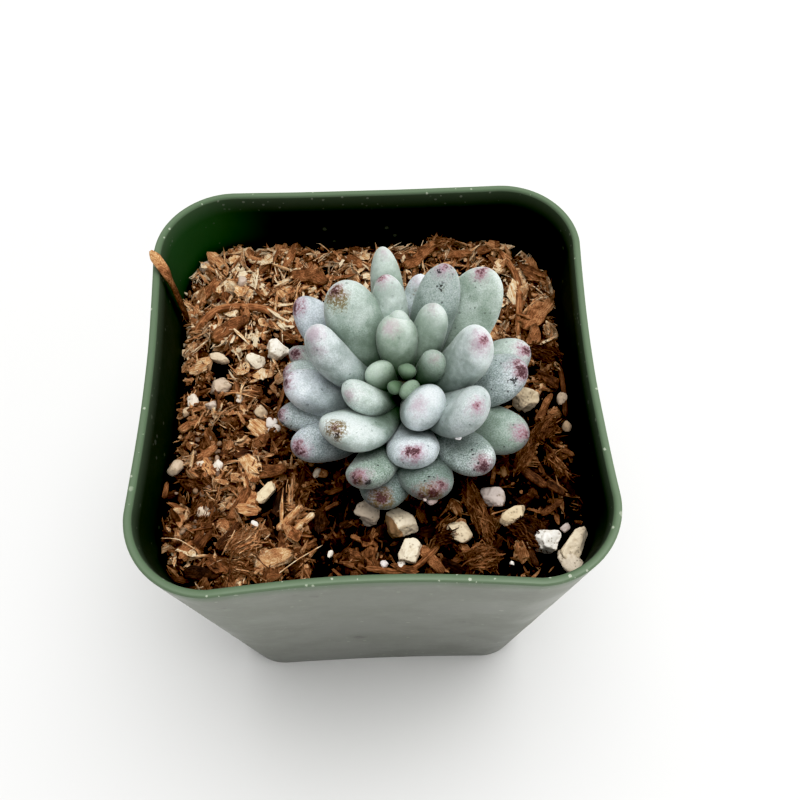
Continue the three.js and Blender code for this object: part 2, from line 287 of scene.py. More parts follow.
def makeSpeckGroup():
    # small ragged dots, in a share of the cells
    group, nodes, into, out = newMaskGroup("scatteredSpecks", Scale=1500.0, Size=0.3, Share=0.3)
    inputs = {"Vector": into["Place"], "Scale": into["Scale"]}
    cells = nodes.add("ShaderNodeTexVoronoi", inputs, feature="F1").outputs
    chance, width, _ = nodes.add("ShaderNodeSeparateColor", {0: cells["Color"]}).outputs
    ragged = nodes.grain(into["Place"], 6000.0, 2.0)
    reach = nodes.times(nodes.times(width, into["Size"]), nodes.plus(ragged, 0.5))
    inside = nodes.span(nodes.minus(reach, cells["Distance"]), 0.0, 0.08)
    nodes.feed(out, nodes.times(nodes.maths("LESS_THAN", chance, into["Share"]), inside))
    return group


cloudGroup = makeCloudGroup()
speckGroup = makeSpeckGroup()
print("shader groups ready")


# The pot: a thin moulded shell, tapered, with sides that bow in a little.
potValues = {
    "height": 65.5,
    "baseHalf": 26.0,
    "rimHalf": 32.0,
    "baseCorner": 7.6,
    "rimCorner": 11.4,
    "baseBow": 0.3,
    "rimBow": {"back": 0.2, "left": 0.8, "front": 1.2, "right": 0.8},
    "wall": 1.1,
    "floor": 1.3,
    "edgeRound": 0.35,
    "drainRadius": 3.0,
    "drainSpacing": 14.0,
    "drainDepth": 6.0,
    "drainSides": 48,
    "cornerSteps": 22,
    "sideSteps": 34,
    "wallRows": 22,
    "waviness": 0.05,
    "waveSize": 9.0,
    "outerLip": 1.3,
    "innerLip": 0.5,
    "paleFrom": 0.2,
    "sharpAbove": 40,
    "filletTurns": (0.0, 0.4, 0.8, 1.2, 1.5708),  # in radians
}

plasticColours = {
    # inside is painted shade, corner is painted light through the plastic, outside is made paler as painted
    # light
    "inside": (0.003, 0.012, 0.003),
    "corner": (0.022, 0.084, 0.021),
    "outside": (0.195, 0.204, 0.175),
    "rim": (0.125, 0.178, 0.110),
    "scuff": (0.45, 0.48, 0.40),
    "smudge": (0.06, 0.06, 0.05),
    "paintedGlowPlace": (-27.0, 26.0, 60.0),
}


def potSection(z, inset, cornerSteps, sideSteps):
    v = potValues
    rise = min(z / v["height"], 1.0)
    half = lerp(v["baseHalf"], v["rimHalf"], rise) - inset
    corner = lerp(v["baseCorner"], v["rimCorner"], rise) - inset
    points = []
    for quadrant, side in enumerate(("back", "left", "front", "right")):
        turn = Matrix.Rotation(math.radians(90 * quadrant), 2)
        bow = lerp(v["baseBow"], v["rimBow"][side], rise)
        for i in range(cornerSteps + 1):
            angle = math.radians(90 * i / cornerSteps)
            point = Vector((math.cos(angle), math.sin(angle))) * corner
            points.append(turn @ (point + Vector((half - corner, half - corner))))
        for i in range(1, sideSteps):
            part = i / sideSteps
            point = Vector(((half - corner) * (1 - 2 * part), half - bow * math.sin(math.pi * part)))
            points.append(turn @ point)
    return points


def roundedRows(z, inset, radius, first, last, steps=5):
    # heights and insets round an edge, from one angle to another
    rows = []
    for i in range(steps + 1):
        angle = math.radians(lerp(first, last, i / steps))
        rows.append((z + radius * math.sin(angle), inset - radius * math.cos(angle)))
    return rows


def potRows(v):
    # heights and insets up the outside, over the rim and down the inside
    edge, wall, count = v["edgeRound"], v["wall"], v["wallRows"]
    inner = 2 * edge
    top = v["height"] - edge
    rows = roundedRows(edge, edge, edge, -90, 0)
    rows += [(lerp(edge, top, i / count), 0.0) for i in range(1, count)]
    rows += roundedRows(top, edge, edge, 0, 90)
    rows += roundedRows(top, wall - edge, edge, 90, 180)
    rows += [(lerp(v["floor"] + inner, top, i / count), wall) for i in range(count - 1, 0, -1)]
    rows += [(v["floor"] + inner * (1 - math.sin(a)), wall + inner * (1 - math.cos(a)))
             for a in v["filletTurns"]]
    return rows


def drillDrains(pot, v):
    # one hole at the middle of the floor and one towards each corner
    drills = bmesh.new()
    radius = v["drainRadius"] * mm
    for x, y in ((0, 0), (1, 1), (-1, 1), (-1, -1), (1, -1)):
        place = Matrix.Translation(Vector((x, y, 0)) * v["drainSpacing"] * mm)
        bmesh.ops.create_cone(drills, cap_ends=True, segments=v["drainSides"], radius1=radius,
                              radius2=radius, depth=v["drainDepth"] * mm, matrix=place)
    mesh = bpy.data.meshes.new("drills")
    drills.to_mesh(mesh)
    drills.free()
    cutter = bpy.data.objects.new("drills", mesh)
    scene.collection.objects.link(cutter)
    cut = pot.modifiers.new("drains", "BOOLEAN")
    cut.object = cutter
    cut.solver = "EXACT"
    bakeModifiers(pot)
    bpy.data.objects.remove(cutter)


def makePot(v, material):
    rows = potRows(v)
    vertices, outer, rim = [], [], []
    for z, inset in rows:
        lip = v["outerLip"] if inset < v["wall"] * 0.6 else v["innerLip"]
        for p in potSection(z, inset, v["cornerSteps"], v["sideSteps"]):
            wave = v["waviness"] * wobble(p.x, p.y, z, v["waveSize"], 2) * smoothStep(z, 2.0, 12.0)
            inward = 1 - wave / v["rimHalf"]
            vertices.append((p.x * inward, p.y * inward, z))
            outer.append(1 - smoothStep(inset, v["wall"] * 0.4, v["wall"] * 0.9))
            rim.append(smoothStep(z, v["height"] - lip, v["height"] - v["paleFrom"]))
    mesh = makeMesh("potShell", vertices, tubeFaces(0, len(rows), len(vertices) // len(rows)))
    addValues(mesh, "outerSkin", outer)
    addValues(mesh, "rimSkin", rim)
    pot = makePiece("potShell", mesh, material)
    drillDrains(pot, v)
    pot.data.set_sharp_from_angle(angle=math.radians(v["sharpAbove"]))
    return pot


def makePotPlastic(c):
    # clean inside and painted near black there as shade, with painted light where the inner wall glows green
    # at one corner; outside made paler and greyer than the plastic as painted light and reflection, dulled
    # by fine dust, painted darker towards the bottom; palest on the rim
    material, nodes, skin = newMaterial("potPlastic", 0.4, 0.35)
    place = nodes.objectPlace()
    outer, rim = nodes.attribute("outerSkin"), nodes.attribute("rimSkin")
    clouds = nodes.mask(cloudGroup, Place=place, Scale=70.0, Low=0.3, High=0.75)
    dust = nodes.mask(cloudGroup, Place=place, Scale=520.0, Low=0.5, High=0.8)
    smudge = nodes.mask(cloudGroup, Place=place, Scale=150.0, Low=0.64, High=0.74)
    specks = nodes.mask(speckGroup, Place=place, Scale=700.0, Size=0.3, Share=0.16)
    flecks = nodes.mask(speckGroup, Place=place, Scale=1300.0, Size=0.34, Share=0.3)
    # painted light and reflection: the outside colour is paler and greyer than the plastic's own green; the
    # dust, clouds and smudges over it are its own marks
    outside = nodes.mix(clouds, tuple(part * 0.88 for part in c["outside"]), c["outside"])
    outside = nodes.mix(nodes.times(dust, 0.12), outside, c["scuff"])
    outside = nodes.mix(nodes.times(smudge, 0.55), outside, c["smudge"])
    # painted shade: the outside is darker towards the bottom and lighter towards the rim
    rise = nodes.span(nodes.split(place)["Z"], 0.0, potValues["height"] * mm, 0.72, 1.12)
    shade = nodes.add("ShaderNodeCombineColor", {0: rise, 1: rise, 2: rise}).outputs[0]
    outside = nodes.mix(1.0, outside, shade, "MULTIPLY")
    # painted light and shade: the inner wall is painted green only near the corner that the light comes
    # through, and near black elsewhere
    away = nodes.vector("DISTANCE", place, Vector(c["paintedGlowPlace"]) * mm)["Value"]
    glow = nodes.span(away, 3 * mm, 15 * mm, 1.0, 0.0)
    body = nodes.mix(nodes.maths("POWER", glow, 1.6), c["inside"], c["corner"])
    body = nodes.mix(outer, body, outside)
    body = nodes.mix(nodes.times(rim, 0.9), body, c["rim"])
    marks = nodes.times(specks, nodes.span(outer, 0.0, 1.0, 0.12, 0.45))
    marks = nodes.maths("MAXIMUM", marks, nodes.times(flecks, nodes.times(rim, 0.7)))
    nodes.feed(skin["Base Color"], nodes.mix(marks, body, c["scuff"]))
    worn = nodes.span(clouds, 0.0, 1.0, 0.3, 0.44)
    inward = nodes.times(nodes.minus(1.0, outer), 0.5)
    nodes.feed(skin["Roughness"], nodes.plus(worn, inward))
    nodes.feed(skin["Normal"], nodes.bump(nodes.grain(place, 900.0, 3.0), 0.12, 0.0002))
    return material


pot = makePot(potValues, makePotPlastic(plasticColours))
settle(pot, "pot", "pot")
print("pot made")


# The plant: one rosette. The leaves stand on a short stem and curl up towards their tips.
plantValues = {
    "apex": (4.7, -2.8, 66.0),
    "foot": (4.8, -1.8, 56.0),
    "stemTop": 1.95,
    "stemFoot": 2.1,
    "stemSides": 28,
    "stemRows": 8,
    "rootDepth": 9.5,
    "rootOffset": 1.2,
    "budOffset": 0.6,
    "budDepth": 1.5,
    "widestAt": 0.64,
    "rootWidth": 0.38,
    "rootThickness": 0.48,
    "topBulge": 0.85,
    "underBulge": 1.1,
    "tipPower": 2.3,
    "rowPower": 0.9,
    "leafSteps": 120,
    "leafRows": 44,
    "leafSides": 36,
    "unevenness": 0.1,
    "evenBelow": 14.0,
    "lumpSize": 3.2,
    "fineSize": 1.3,
    "fineShare": 0.25,
    "tipReach": 0.1,
    "youngGreen": 0.6,
    "oldGreen": 0.15,
    "oldDepth": 7.0,
    "farFromSpots": -6.0,
}

# Each leaf: azimuth, depth below the apex, elevation, curl, length, width, thickness, roll and
# bend, then its looks from 0 to 1: frost, speckle and coolness.
# frost is also set low on the low front leaves to darken them, as painted shade
leafTable = [
    (69, 0.6, 75, 0, 2.5, 2.6, 2, 0, -4, 0.15, 0.2, 0.0),
    (220, 0.4, 33, -5, 2.5, 2, 1.6, 20, 10, 0.1, 0.2, 0.0),
    (288, 1.2, 43, 25, 3, 3.2, 2.6, -20, 6, 0.3, 0.2, 0.0),
    (172, 2.2, 40, 35, 5.5, 4.4, 2.6, 40, -20, 0.53, 0.2, 0.0),
    (16, 1.8, 35, 50, 7, 4.2, 3, -20, -2, 0.48, 0.3, 0.2),
    (203, 3.8, 10, 75, 9.5, 6.6, 4.2, -20, 2, 0.8, 0.4, 0.3),
    (295, 3.4, 32, 40, 9, 7, 5.2, -30, -2, 0.8, 0.3, 0.7),
    (98, 3, 53, 24, 10.5, 6, 5.6, -15, 10, 0.68, 0.2, 0.1),
    (94, 4, 56, 15, 12, 4, 3.6, 20, 6, 0.6, 0.2, 0.2),
    (57, 3.6, 43, 25, 13, 5, 4, 10, 2, 0.72, 0.2, 0.2),
    (4, 4, 29, 60, 17, 7, 5, -10, -2, 0.82, 0.2, 0.5),
    (321, 4.6, 11, 75, 16.5, 7.6, 5.2, -10, -4, 0.7, 0.4, 0.6),
    (226, 4.8, -1, 65, 14.5, 9, 5, -20, -8, 0.8, 0.35, 0.4),
    (274, 6, -6, 75, 13.5, 7.2, 4.6, 0, 2, 0.98, 0.5, 0.8),
    (171, 4.8, 24, 60, 18.5, 5.4, 5.2, -20, -6, 0.88, 0.4, 0.6),
    (132, 4.6, 36, 35, 18.5, 8, 6, 10, 6, 0.64, 0.4, 0.3),
    (99, 5.8, 39, 30, 17.5, 5.2, 4.6, 0, 6, 0.8, 0.2, 0.3),
    (64, 6, 40, 30, 20, 6.2, 5.2, -10, -6, 0.52, 0.6, 0.5),
    (41, 6, 19, 45, 21.5, 8.2, 4.8, -10, 10, 0.7, 0.4, 0.2),
    (2, 6.8, 7, 40, 17.5, 7.6, 5.4, 0, -2, 0.76, 0.8, 0.7),
    (16, 7.8, 7, 20, 18.5, 6.8, 5.2, -20, 2, 0.8, 0.4, 0.3),
    (335, 7.6, -1, 30, 18, 7.2, 5.4, -10, -4, 0.55, 0.6, 0.3),
    (310, 7.8, 1, 40, 17, 6.4, 5.2, 0, 0, 0.85, 0.9, 0.5),
    (280, 8.6, -5, 55, 17.5, 7.6, 4.8, 10, 2, 0.4, 1.0, 0.5),
    (247, 8.4, -5, 70, 18.5, 6.6, 4.2, -20, 2, 0.6, 1.0, 0.3),
    (256, 9, 1, 25, 17, 7.6, 4.6, 10, 0, 0.35, 1.0, 0.6),
    (211, 8.8, -2, 35, 17.5, 6.6, 5, -10, -6, 0.76, 0.8, 0.8),
    (182, 7.2, 2, 55, 17.5, 6.4, 5.8, -10, 0, 1, 0.4, 0.8),
    (169, 8, 4, 25, 17, 6.2, 5, 10, 0, 0.64, 0.6, 0.5),
    (190, 8.6, -3, 30, 17.5, 5.2, 5.2, 20, -2, 0.78, 0.7, 0.7),
    (144, 7.6, 18, 30, 20.5, 6.4, 5, 0, -2, 0.72, 0.5, 0.9),
    (156, 8.8, 5, 20, 17.5, 4.8, 4.6, 10, 0, 0.62, 0.5, 0.3),
    (98, 8, 31, 28, 22, 4.8, 5.2, -10, 2, 0.63, 0.2, 0.2),
    (78, 7.4, 30, 20, 17.5, 5, 4.6, 0, 2, 0.85, 0.3, 0.7),
]

# Marks on the leaves: leaf number, kind, place along the leaf, angle round it and reach in mm.
leafMarks = [
    (15, "spot", 0.99, 30, 1.1),
    (15, "scab", 0.96, 40, 2.4),
    (30, "spot", 0.98, 10, 1.2),
    (30, "scar", 0.90, 10, 0.3),
    (14, "blush", 0.99, -50, 2.2),
    (14, "blush", 0.90, -10, 1.6),
    (7, "blush", 0.97, 30, 1.8),
    (9, "blush", 0.98, 70, 1.2),
    (4, "blush", 0.97, 100, 1.1),
    (10, "blush", 0.98, 160, 2.2),
    (10, "spot", 0.98, -140, 0.8),
    (19, "spot", 0.96, 80, 0.8),
    (19, "spot", 0.99, 140, 1.4),
    (19, "scar", 0.92, 140, 0.6),
    (20, "spot", 0.97, 100, 0.9),
    (20, "blush", 0.94, 100, 1.8),
    (21, "spot", 0.99, 70, 1.0),
    (21, "blush", 0.97, 80, 2.0),
    (22, "spot", 0.99, 160, 1.3),
    (13, "spot", 0.99, 130, 1.2),
    (13, "blush", 1.00, 150, 1.9),
    (13, "scab", 0.99, -150, 0.8),
    (6, "blush", 0.95, 110, 1.9),
    (11, "blush", 0.98, -120, 1.7),
    (11, "spot", 0.99, -120, 0.5),
    (5, "blush", 0.95, -100, 1.6),
    (12, "scab", 1.00, -100, 2.3),
    (12, "scar", 0.99, -80, 0.5),
    (12, "spot", 1.00, 170, 0.9),
    (27, "spot", 0.99, -80, 1.0),
    (27, "spot", 0.98, -170, 0.8),
    (28, "spot", 1.00, -20, 1.0),
    (26, "spot", 0.99, 60, 1.2),
    (26, "spot", 0.97, 20, 0.9),
    (29, "spot", 1.00, -40, 1.0),
    (29, "scar", 0.94, -10, 0.8),
    (24, "spot", 0.98, -160, 1.2),
    (24, "blush", 1.00, -160, 2.0),
    (24, "scar", 0.96, -60, 0.5),
    (25, "spot", 0.96, 90, 1.3),
    (23, "spot", 1.00, -130, 1.3),
    (23, "spot", 0.96, -140, 1.1),
    (23, "spot", 0.98, 40, 1.0),
    (23, "scab", 0.97, -110, 2.6),
    (25, "scab", 0.97, 80, 2.4),
    (24, "scab", 0.98, -120, 1.4),
    (16, "spot", 0.99, -30, 0.8),
    (16, "blush", 0.99, 70, 1.5),
    (18, "spot", 0.98, 60, 0.7),
    (18, "blush", 0.97, 60, 1.6),
    (17, "spot", 1.00, -40, 0.7),
    (17, "blush", 0.98, 60, 1.8),
    (17, "scar", 0.97, 60, 0.3),
    (17, "scar", 0.89, 90, 0.5),
    (17, "scab", 0.88, 100, 0.7),
    (31, "spot", 0.95, 80, 1.0),
    (33, "blush", 0.95, 60, 1.4),
    (33, "scab", 0.86, 70, 0.9),
    (32, "blush", 0.98, 80, 1.3),
]


def leafDirection(heading, rise):
    return Vector((math.cos(heading) * math.cos(rise), math.sin(heading) * math.cos(rise), math.sin(rise)))


class Leaf:
    # a fat blade along an upward curl, widest past its middle and narrow at its root
    def __init__(self, row, v):
        self.azimuth, depth, self.elevation, self.curl, self.length = row[:5]
        self.width, self.thickness, self.roll, self.bend = row[5:9]
        self.v = v
        start = Vector(v["apex"]).lerp(Vector(v["foot"]), depth / 10)
        start.z = v["apex"][2] - depth
        offset = v["budOffset"] if depth < v["budDepth"] else v["rootOffset"]
        start += leafDirection(math.radians(self.azimuth), 0) * offset
        self.path = [start]
        for i in range(v["leafSteps"]):
            ahead = self.direction((i + 0.5) / v["leafSteps"]) * (self.length / v["leafSteps"])
            self.path.append(self.path[-1] + ahead)

    def direction(self, u):
        heading = math.radians(self.azimuth + self.bend * u)
        return leafDirection(heading, math.radians(self.elevation + self.curl * u))

    def centre(self, u):
        here = u * self.v["leafSteps"]
        low = min(int(here), self.v["leafSteps"] - 1)
        return self.path[low].lerp(self.path[low + 1], here - low)

    def push(self, u, turn):
        # from the leaf's centre line out to its skin
        v = self.v
        direction = self.direction(u)
        across = Vector((-direction.y, direction.x, 0)).normalized()
        roll = Matrix.Rotation(math.radians(-self.roll), 3, direction)
        swell = math.sin(math.pi / 2 * min(u / v["widestAt"], 1))
        past = max(0.0, u - v["widestAt"]) / (1 - v["widestAt"])
        cap = math.sqrt(max(0.0, 1 - past ** v["tipPower"]))
        wide = math.cos(turn) * self.width / 2 * lerp(v["rootWidth"], 1, swell) * cap
        bulge = v["topBulge"] if math.sin(turn) > 0 else v["underBulge"]
        high = math.sin(turn) * bulge * self.thickness / 2 * lerp(v["rootThickness"], 1, swell) * cap
        return roll @ (across * wide + direction.cross(across) * high)


def markField(points, leaf, number, kind):
    # how deep each point lies inside the nearest mark of a kind, in mm
    centres = []
    for owner, its, u, angle, reach in leafMarks:
        if owner == number and its == kind:
            centres.append((leaf.centre(u) + leaf.push(u, math.radians(angle)), reach))
    far = plantValues["farFromSpots"]
    return [max([far] + [reach - (point - centre).length for centre, reach in centres]) for point in points]


def makeLeaves(v, material):
    vertices, faces, along, looks, green = [], [], [], [], []
    fields = {kind: [] for kind in ("spot", "blush", "scab", "scar")}
    sides, rings = v["leafSides"], v["leafRows"]
    for number, row in enumerate(leafTable):
        leaf = Leaf(row, v)
        first = len(vertices)
        uneven = v["unevenness"] * min(leaf.length / v["evenBelow"], 1)
        for ring in range(rings):
            u = math.sin(ring / rings * math.pi / 2) ** v["rowPower"]
            for turn in around(sides):
                push = leaf.push(u, turn)
                point = leaf.centre(u) + push
                rough = wobble(*point, v["lumpSize"], number) * uneven
                rough += wobble(*point, v["fineSize"], number + 50) * uneven * v["fineShare"]
                vertices.append(point + push.normalized() * rough)
                along.append(u)
        tip, root = len(vertices), len(vertices) + 1
        vertices += [leaf.centre(1.0) + leaf.direction(1.0) * v["tipReach"], leaf.centre(0.0)]
        along += [1.0, 0.0]
        for ring in range(rings - 1):
            for i in range(sides):
                j = (i + 1) % sides
                a, b = first + ring * sides, first + (ring + 1) * sides
                faces.append((a + j, a + i, b + i, b + j))
        last = first + (rings - 1) * sides
        for i in range(sides):
            j = (i + 1) % sides
            faces.append((last + j, last + i, tip))
            faces.append((first + i, first + j, root))
        points = vertices[first:]
        looks += [row[9:12]] * len(points)
        green += [lerp(v["youngGreen"], v["oldGreen"], min(row[1] / v["oldDepth"], 1))] * len(points)
        for kind, values in fields.items():
            values += markField(points, leaf, number, kind)
    mesh = makeMesh("leaves", vertices, faces)
    addValues(mesh, "alongLeaf", along)
    addVectors(mesh, "leafLooks", looks)
    addValues(mesh, "greenReach", green)
    for kind, values in fields.items():
        addValues(mesh, kind, values)
    return makePiece("leaves", mesh, material)


def makeStem(v, material):
    sides, steps, vertices = v["stemSides"], v["stemRows"], []
    apex, foot = Vector(v["apex"]), Vector(v["foot"])
    profile = [
        (foot.z - v["rootDepth"], v["stemFoot"] * 0.7),
        (foot.z - v["rootDepth"] * 0.6, v["stemFoot"]),
        (foot.z, v["stemFoot"]),
        (apex.z - 4, v["stemTop"]),
        (apex.z - 1.6, v["stemTop"] * 0.75),
        (apex.z - 0.8, 0.3),
    ]
    rows = []
    for (z0, r0), (z1, r1) in zip(profile, profile[1:]):
        rows += [(lerp(z0, z1, i / steps), lerp(r0, r1, i / steps)) for i in range(steps)]
    rows.append(profile[-1])
    for z, radius in rows:
        rise = max(0.0, (z - foot.z) / (apex.z - foot.z))
        for angle in around(sides):
            scar = 1 + 0.05 * wobble(math.cos(angle) * 2, math.sin(angle) * 2, z * 1.5, 1.0, 4)
            vertices.append((lerp(foot.x, apex.x, rise) + math.cos(angle) * radius * scar,
                             lerp(foot.y, apex.y, rise) + math.sin(angle) * radius * scar, z))
    return makePiece("stem", makeMesh("stem", vertices, tubeFaces(0, len(rows), sides)), material)


leafColours = {
    # root: painted shade at the leaf's root
    "root": (0.022, 0.050, 0.018),
    "green": (0.095, 0.160, 0.087),
    "grey": (0.110, 0.146, 0.150),
    "warmBloom": (0.77, 0.85, 0.79),
    "coolBloom": (0.80, 0.84, 0.90),
    "blush": (0.36, 0.200, 0.270),
    "halo": (0.24, 0.085, 0.105),
    "spot": (0.055, 0.004, 0.009),
    "scab": (0.17, 0.130, 0.045),
    "scar": (0.012, 0.012, 0.012),
}


def makeLeafSkin(c):
    # green flesh under a pale bloom that is worn to fine specks on the older leaves
    material, nodes, skin = newMaterial("leafSkin", 0.62, 0.3)
    place = nodes.objectPlace()
    # the first look is the bloom's share, lowered on the low front leaves as painted shade
    frostAndPaintedShade, speckle, cool = nodes.split(nodes.attribute("leafLooks", "Vector"))
    clouds = nodes.mask(cloudGroup, Place=place, Scale=230.0, Low=0.25, High=0.72)
    powder = nodes.mask(cloudGroup, Place=place, Scale=5200.0, Low=0.34, High=0.66)
    dots = nodes.mask(speckGroup, Place=place, Scale=1500.0, Size=0.36, Share=0.22)
    ragged = nodes.minus(nodes.grain(place, 850.0, 5.0, 0.7), 0.5)
    clotted = nodes.minus(nodes.grain(place, 3200.0, 3.0, 0.7), 0.5)
    edge = nodes.plus(nodes.times(ragged, 3.0), nodes.times(clotted, 2.6))

    def markMask(kind, low, high, share):
        deep = nodes.plus(nodes.attribute(kind), edge)
        return nodes.times(nodes.span(deep, low, high), share)

    reach = nodes.plus(nodes.attribute("alongLeaf"), nodes.times(clouds, 0.14))
    # painted shade: the flesh darkens to a deep green towards the root, where the leaves crowd
    flesh = nodes.mix(nodes.span(reach, 0.1, 0.75), c["root"], nodes.mix(cool, c["green"], c["grey"]))
    bloom = nodes.mix(cool, c["warmBloom"], c["coolBloom"])
    worn = nodes.times(nodes.minus(1.0, powder), speckle)
    patch = nodes.span(clouds, 0.0, 1.0, 0.62, 1.1)
    bloomed = nodes.span(reach, nodes.minus(nodes.attribute("greenReach"), 0.05), 1.02)
    share = nodes.times(nodes.times(frostAndPaintedShade, patch), bloomed)
    share = nodes.times(share, nodes.minus(1.0, nodes.times(worn, 0.85)), clamp=True)
    body = nodes.mix(share, flesh, bloom)
    body = nodes.mix(markMask("blush", -0.4, 2.0, 0.5), body, c["blush"])
    body = nodes.mix(markMask("spot", -1.3, 0.2, 0.3), body, c["blush"])
    body = nodes.mix(markMask("spot", -0.3, 0.6, 0.6), body, c["halo"])
    mottled = nodes.times(markMask("scab", 0.1, 1.6, 0.9), nodes.span(clotted, -0.12, 0.06))
    body = nodes.mix(mottled, body, c["scab"])
    dusted = nodes.span(powder, 0.1, 0.9, 1.0, 0.72)
    body = nodes.mix(nodes.times(markMask("spot", 0.4, 0.9, 0.95), dusted), body, c["spot"])
    body = nodes.mix(markMask("scar", 0.0, 0.35, 0.9), body, c["scar"])
    body = nodes.mix(nodes.times(dots, nodes.times(speckle, 0.9)), body, c["scar"])
    nodes.feed(skin["Base Color"], body)
    nodes.feed(skin["Roughness"], nodes.span(powder, 0.0, 1.0, 0.5, 0.75))
    height = nodes.plus(nodes.plus(powder, nodes.times(dots, -0.6)), nodes.times(ragged, 1.2))
    nodes.feed(skin["Normal"], nodes.bump(height, 0.25, 0.0001))
    skin["Subsurface Weight"].default_value = 0.07
    skin["Subsurface Radius"].default_value = (0.0010, 0.0013, 0.0007)
    skin["Sheen Weight"].default_value = 0.28
    skin["Sheen Roughness"].default_value = 0.35
    return material


def makeStemBark():
    material, nodes, skin = newMaterial("stemBark", 0.7, 0.3)
    clouds = nodes.mask(cloudGroup, Place=nodes.objectPlace(), Scale=900.0, Low=0.35, High=0.65)
    nodes.feed(skin["Base Color"], nodes.mix(clouds, (0.04, 0.06, 0.03), (0.09, 0.08, 0.05)))
    nodes.feed(skin["Normal"], nodes.bump(clouds, 0.5, 0.0003))
    return material


leaves = makeLeaves(plantValues, makeLeafSkin(leafColours))
stem = makeStem(plantValues, makeStemBark())
settle(leaves, "plant", "plant")
settle(stem, "plant", "plant")
print("plant made")


# The soil: a lumpy bed up to the pot's wall, with its surface at the solid's height.
soilValues = {
    "level": 55.1,
    "fall": 0.012,
    "lumps": (5.5, 1.5, 11),
    "crumbs": (2.4, 0.9, 29),
    "latticeCount": 40,
    "dishRadius": 17.0,
    "dishLevel": 54.1,
    "dishEdge": 3.0,
    "gap": 0.12,
    "bottom": 1.7,
    "sideLevels": (40.0, 20.0, 4.0),
    "bottomInset": 0.8,
    "topDepth": 9.0,
    "cells": 180,
    "sunk": 0.35,
    "clods": 0.9,
    "clodSize": 1.9,
    "pits": 2.8,
    "pitSize": 2.4,
    "mats": 1.2,
    "matSize": 4.2,
    "matLeft": (0.3, 6.0, 16.0),
    "matBack": (0.4, 4.0, 18.0),
    "matFront": (-0.3, 18.0, 36.0),
    "toneLeft": (0.08, 6.0, 18.0),
    "paintedLightBack": (0.18, -2.0, 14.0),
    "wallFall": 1.6,
    "wallReach": 2.2,
    "clearance": 0.2,
    "darkSpotPlace": (-3.0, -18.0),
    "darkSpotDepth": 0.24,
    "darkSpotSize": 6.0,
}


def slope(x, share, low, high):
    return share * smoothStep(x, low, high)


def ripple(x, y, size, layer):
    return noise.noise(Vector((x / size, y / size, layer)))


def makeLumps(size, height, seed):
    # a bumpy surface through random heights on a square lattice
    stream = makeRandom(seed)
    count = soilValues["latticeCount"]
    lattice = [next(stream) * 2 - 1 for _ in range(count * count)]

    def at(i, j):
        return lattice[(i % count) * count + j % count]

    def heightAt(x, y):
        i, j = math.floor(x / size), math.floor(y / size)
        u, v = smoothStep(x / size - i, 0, 1), smoothStep(y / size - j, 0, 1)
        return height / 2 * lerp(lerp(at(i, j), at(i + 1, j), u), lerp(at(i, j + 1), at(i + 1, j + 1), u), v)

    return heightAt


lumpHeight = makeLumps(*soilValues["lumps"])
crumbHeight = makeLumps(*soilValues["crumbs"])


def stemDistance(x, y):
    return math.hypot(x - plantValues["foot"][0], y - plantValues["foot"][1])


def soilHeight(x, y):
    v = soilValues
    rough = lumpHeight(x, y) + crumbHeight(x, y)
    around = v["level"] - v["fall"] * (x + y) + rough
    dish = v["dishLevel"] + rough * 0.3
    edge = smoothStep(stemDistance(x, y), v["dishRadius"] - v["dishEdge"], v["dishRadius"] + v["dishEdge"])
    return lerp(min(dish, around), around, edge)


def outlineReach(z, inset):
    # how far the pot's section reaches in each direction, as a function of the angle
    points = potSection(z, inset, 16, 24)
    polar = sorted((math.atan2(p.y, p.x), p.length) for p in points)
    angles = [a for a, _ in polar]

    def reach(angle):
        k = bisect.bisect_left(angles, angle)
        a0, r0 = polar[k - 1] if k else (polar[-1][0] - 2 * math.pi, polar[-1][1])
        a1, r1 = polar[k] if k < len(polar) else (polar[0][0] + 2 * math.pi, polar[0][1])
        return lerp(r0, r1, (angle - a0) / (a1 - a0) if a1 > a0 else 0)

    return reach


wallReach = outlineReach(soilValues["level"], potValues["wall"])


def wallDistance(x, y):
    return wallReach(math.atan2(y, x)) - math.hypot(x, y)


# Pale grains: x, y, half-sizes along, across and up, the yaw, then the tone.
grainTable = [
    (23.5, -22.9, 1.7, 1.8, 1.8, 0, 1.0),
    (27.1, -23.7, 1.4, 2.7, 1.6, -27, 0.8),
    (16.7, -15.7, 1.5, 1.7, 1.4, 20, 0.7),
    (11.3, -21.3, 1.7, 1.4, 1.2, -15, 0.75),
    (19.3, -18.9, 1.9, 1.1, 1.0, 35, 0.7),
    (3.6, -19.3, 2.3, 2.1, 2.0, 25, 0.85),
    (-0.9, -17.4, 1.9, 1.8, 1.6, -30, 0.75),
    (4.6, -23.8, 1.7, 1.5, 1.4, 60, 0.85),
    (22.8, -0.4, 1.8, 1.8, 1.8, 0, 0.75),
    (-14.3, 9.2, 1.6, 1.6, 1.4, 10, 0.95),
    (-17.6, 7.3, 1.4, 1.2, 1.2, -30, 0.85),
    (-23.2, 8.1, 1.6, 0.8, 0.9, -15, 0.7),
    (-22.7, 3.2, 1.7, 1.3, 1.2, 0, 0.6),
    (-15.3, -14.2, 1.7, 0.9, 1.0, 50, 0.75),
]


def openGround(x, y):
    # 1 on open soil, falling to 0 at the stem, at the wall and on the pale grains
    cover = smoothStep(stemDistance(x, y), 2.4, 4.0) * smoothStep(wallDistance(x, y), 0.3, 1.2)
    for gx, gy, along, across in (row[:4] for row in grainTable):
        reach = max(along, across)
        cover *= smoothStep(math.hypot(x - gx, y - gy), reach, reach * 1.5)
    return cover


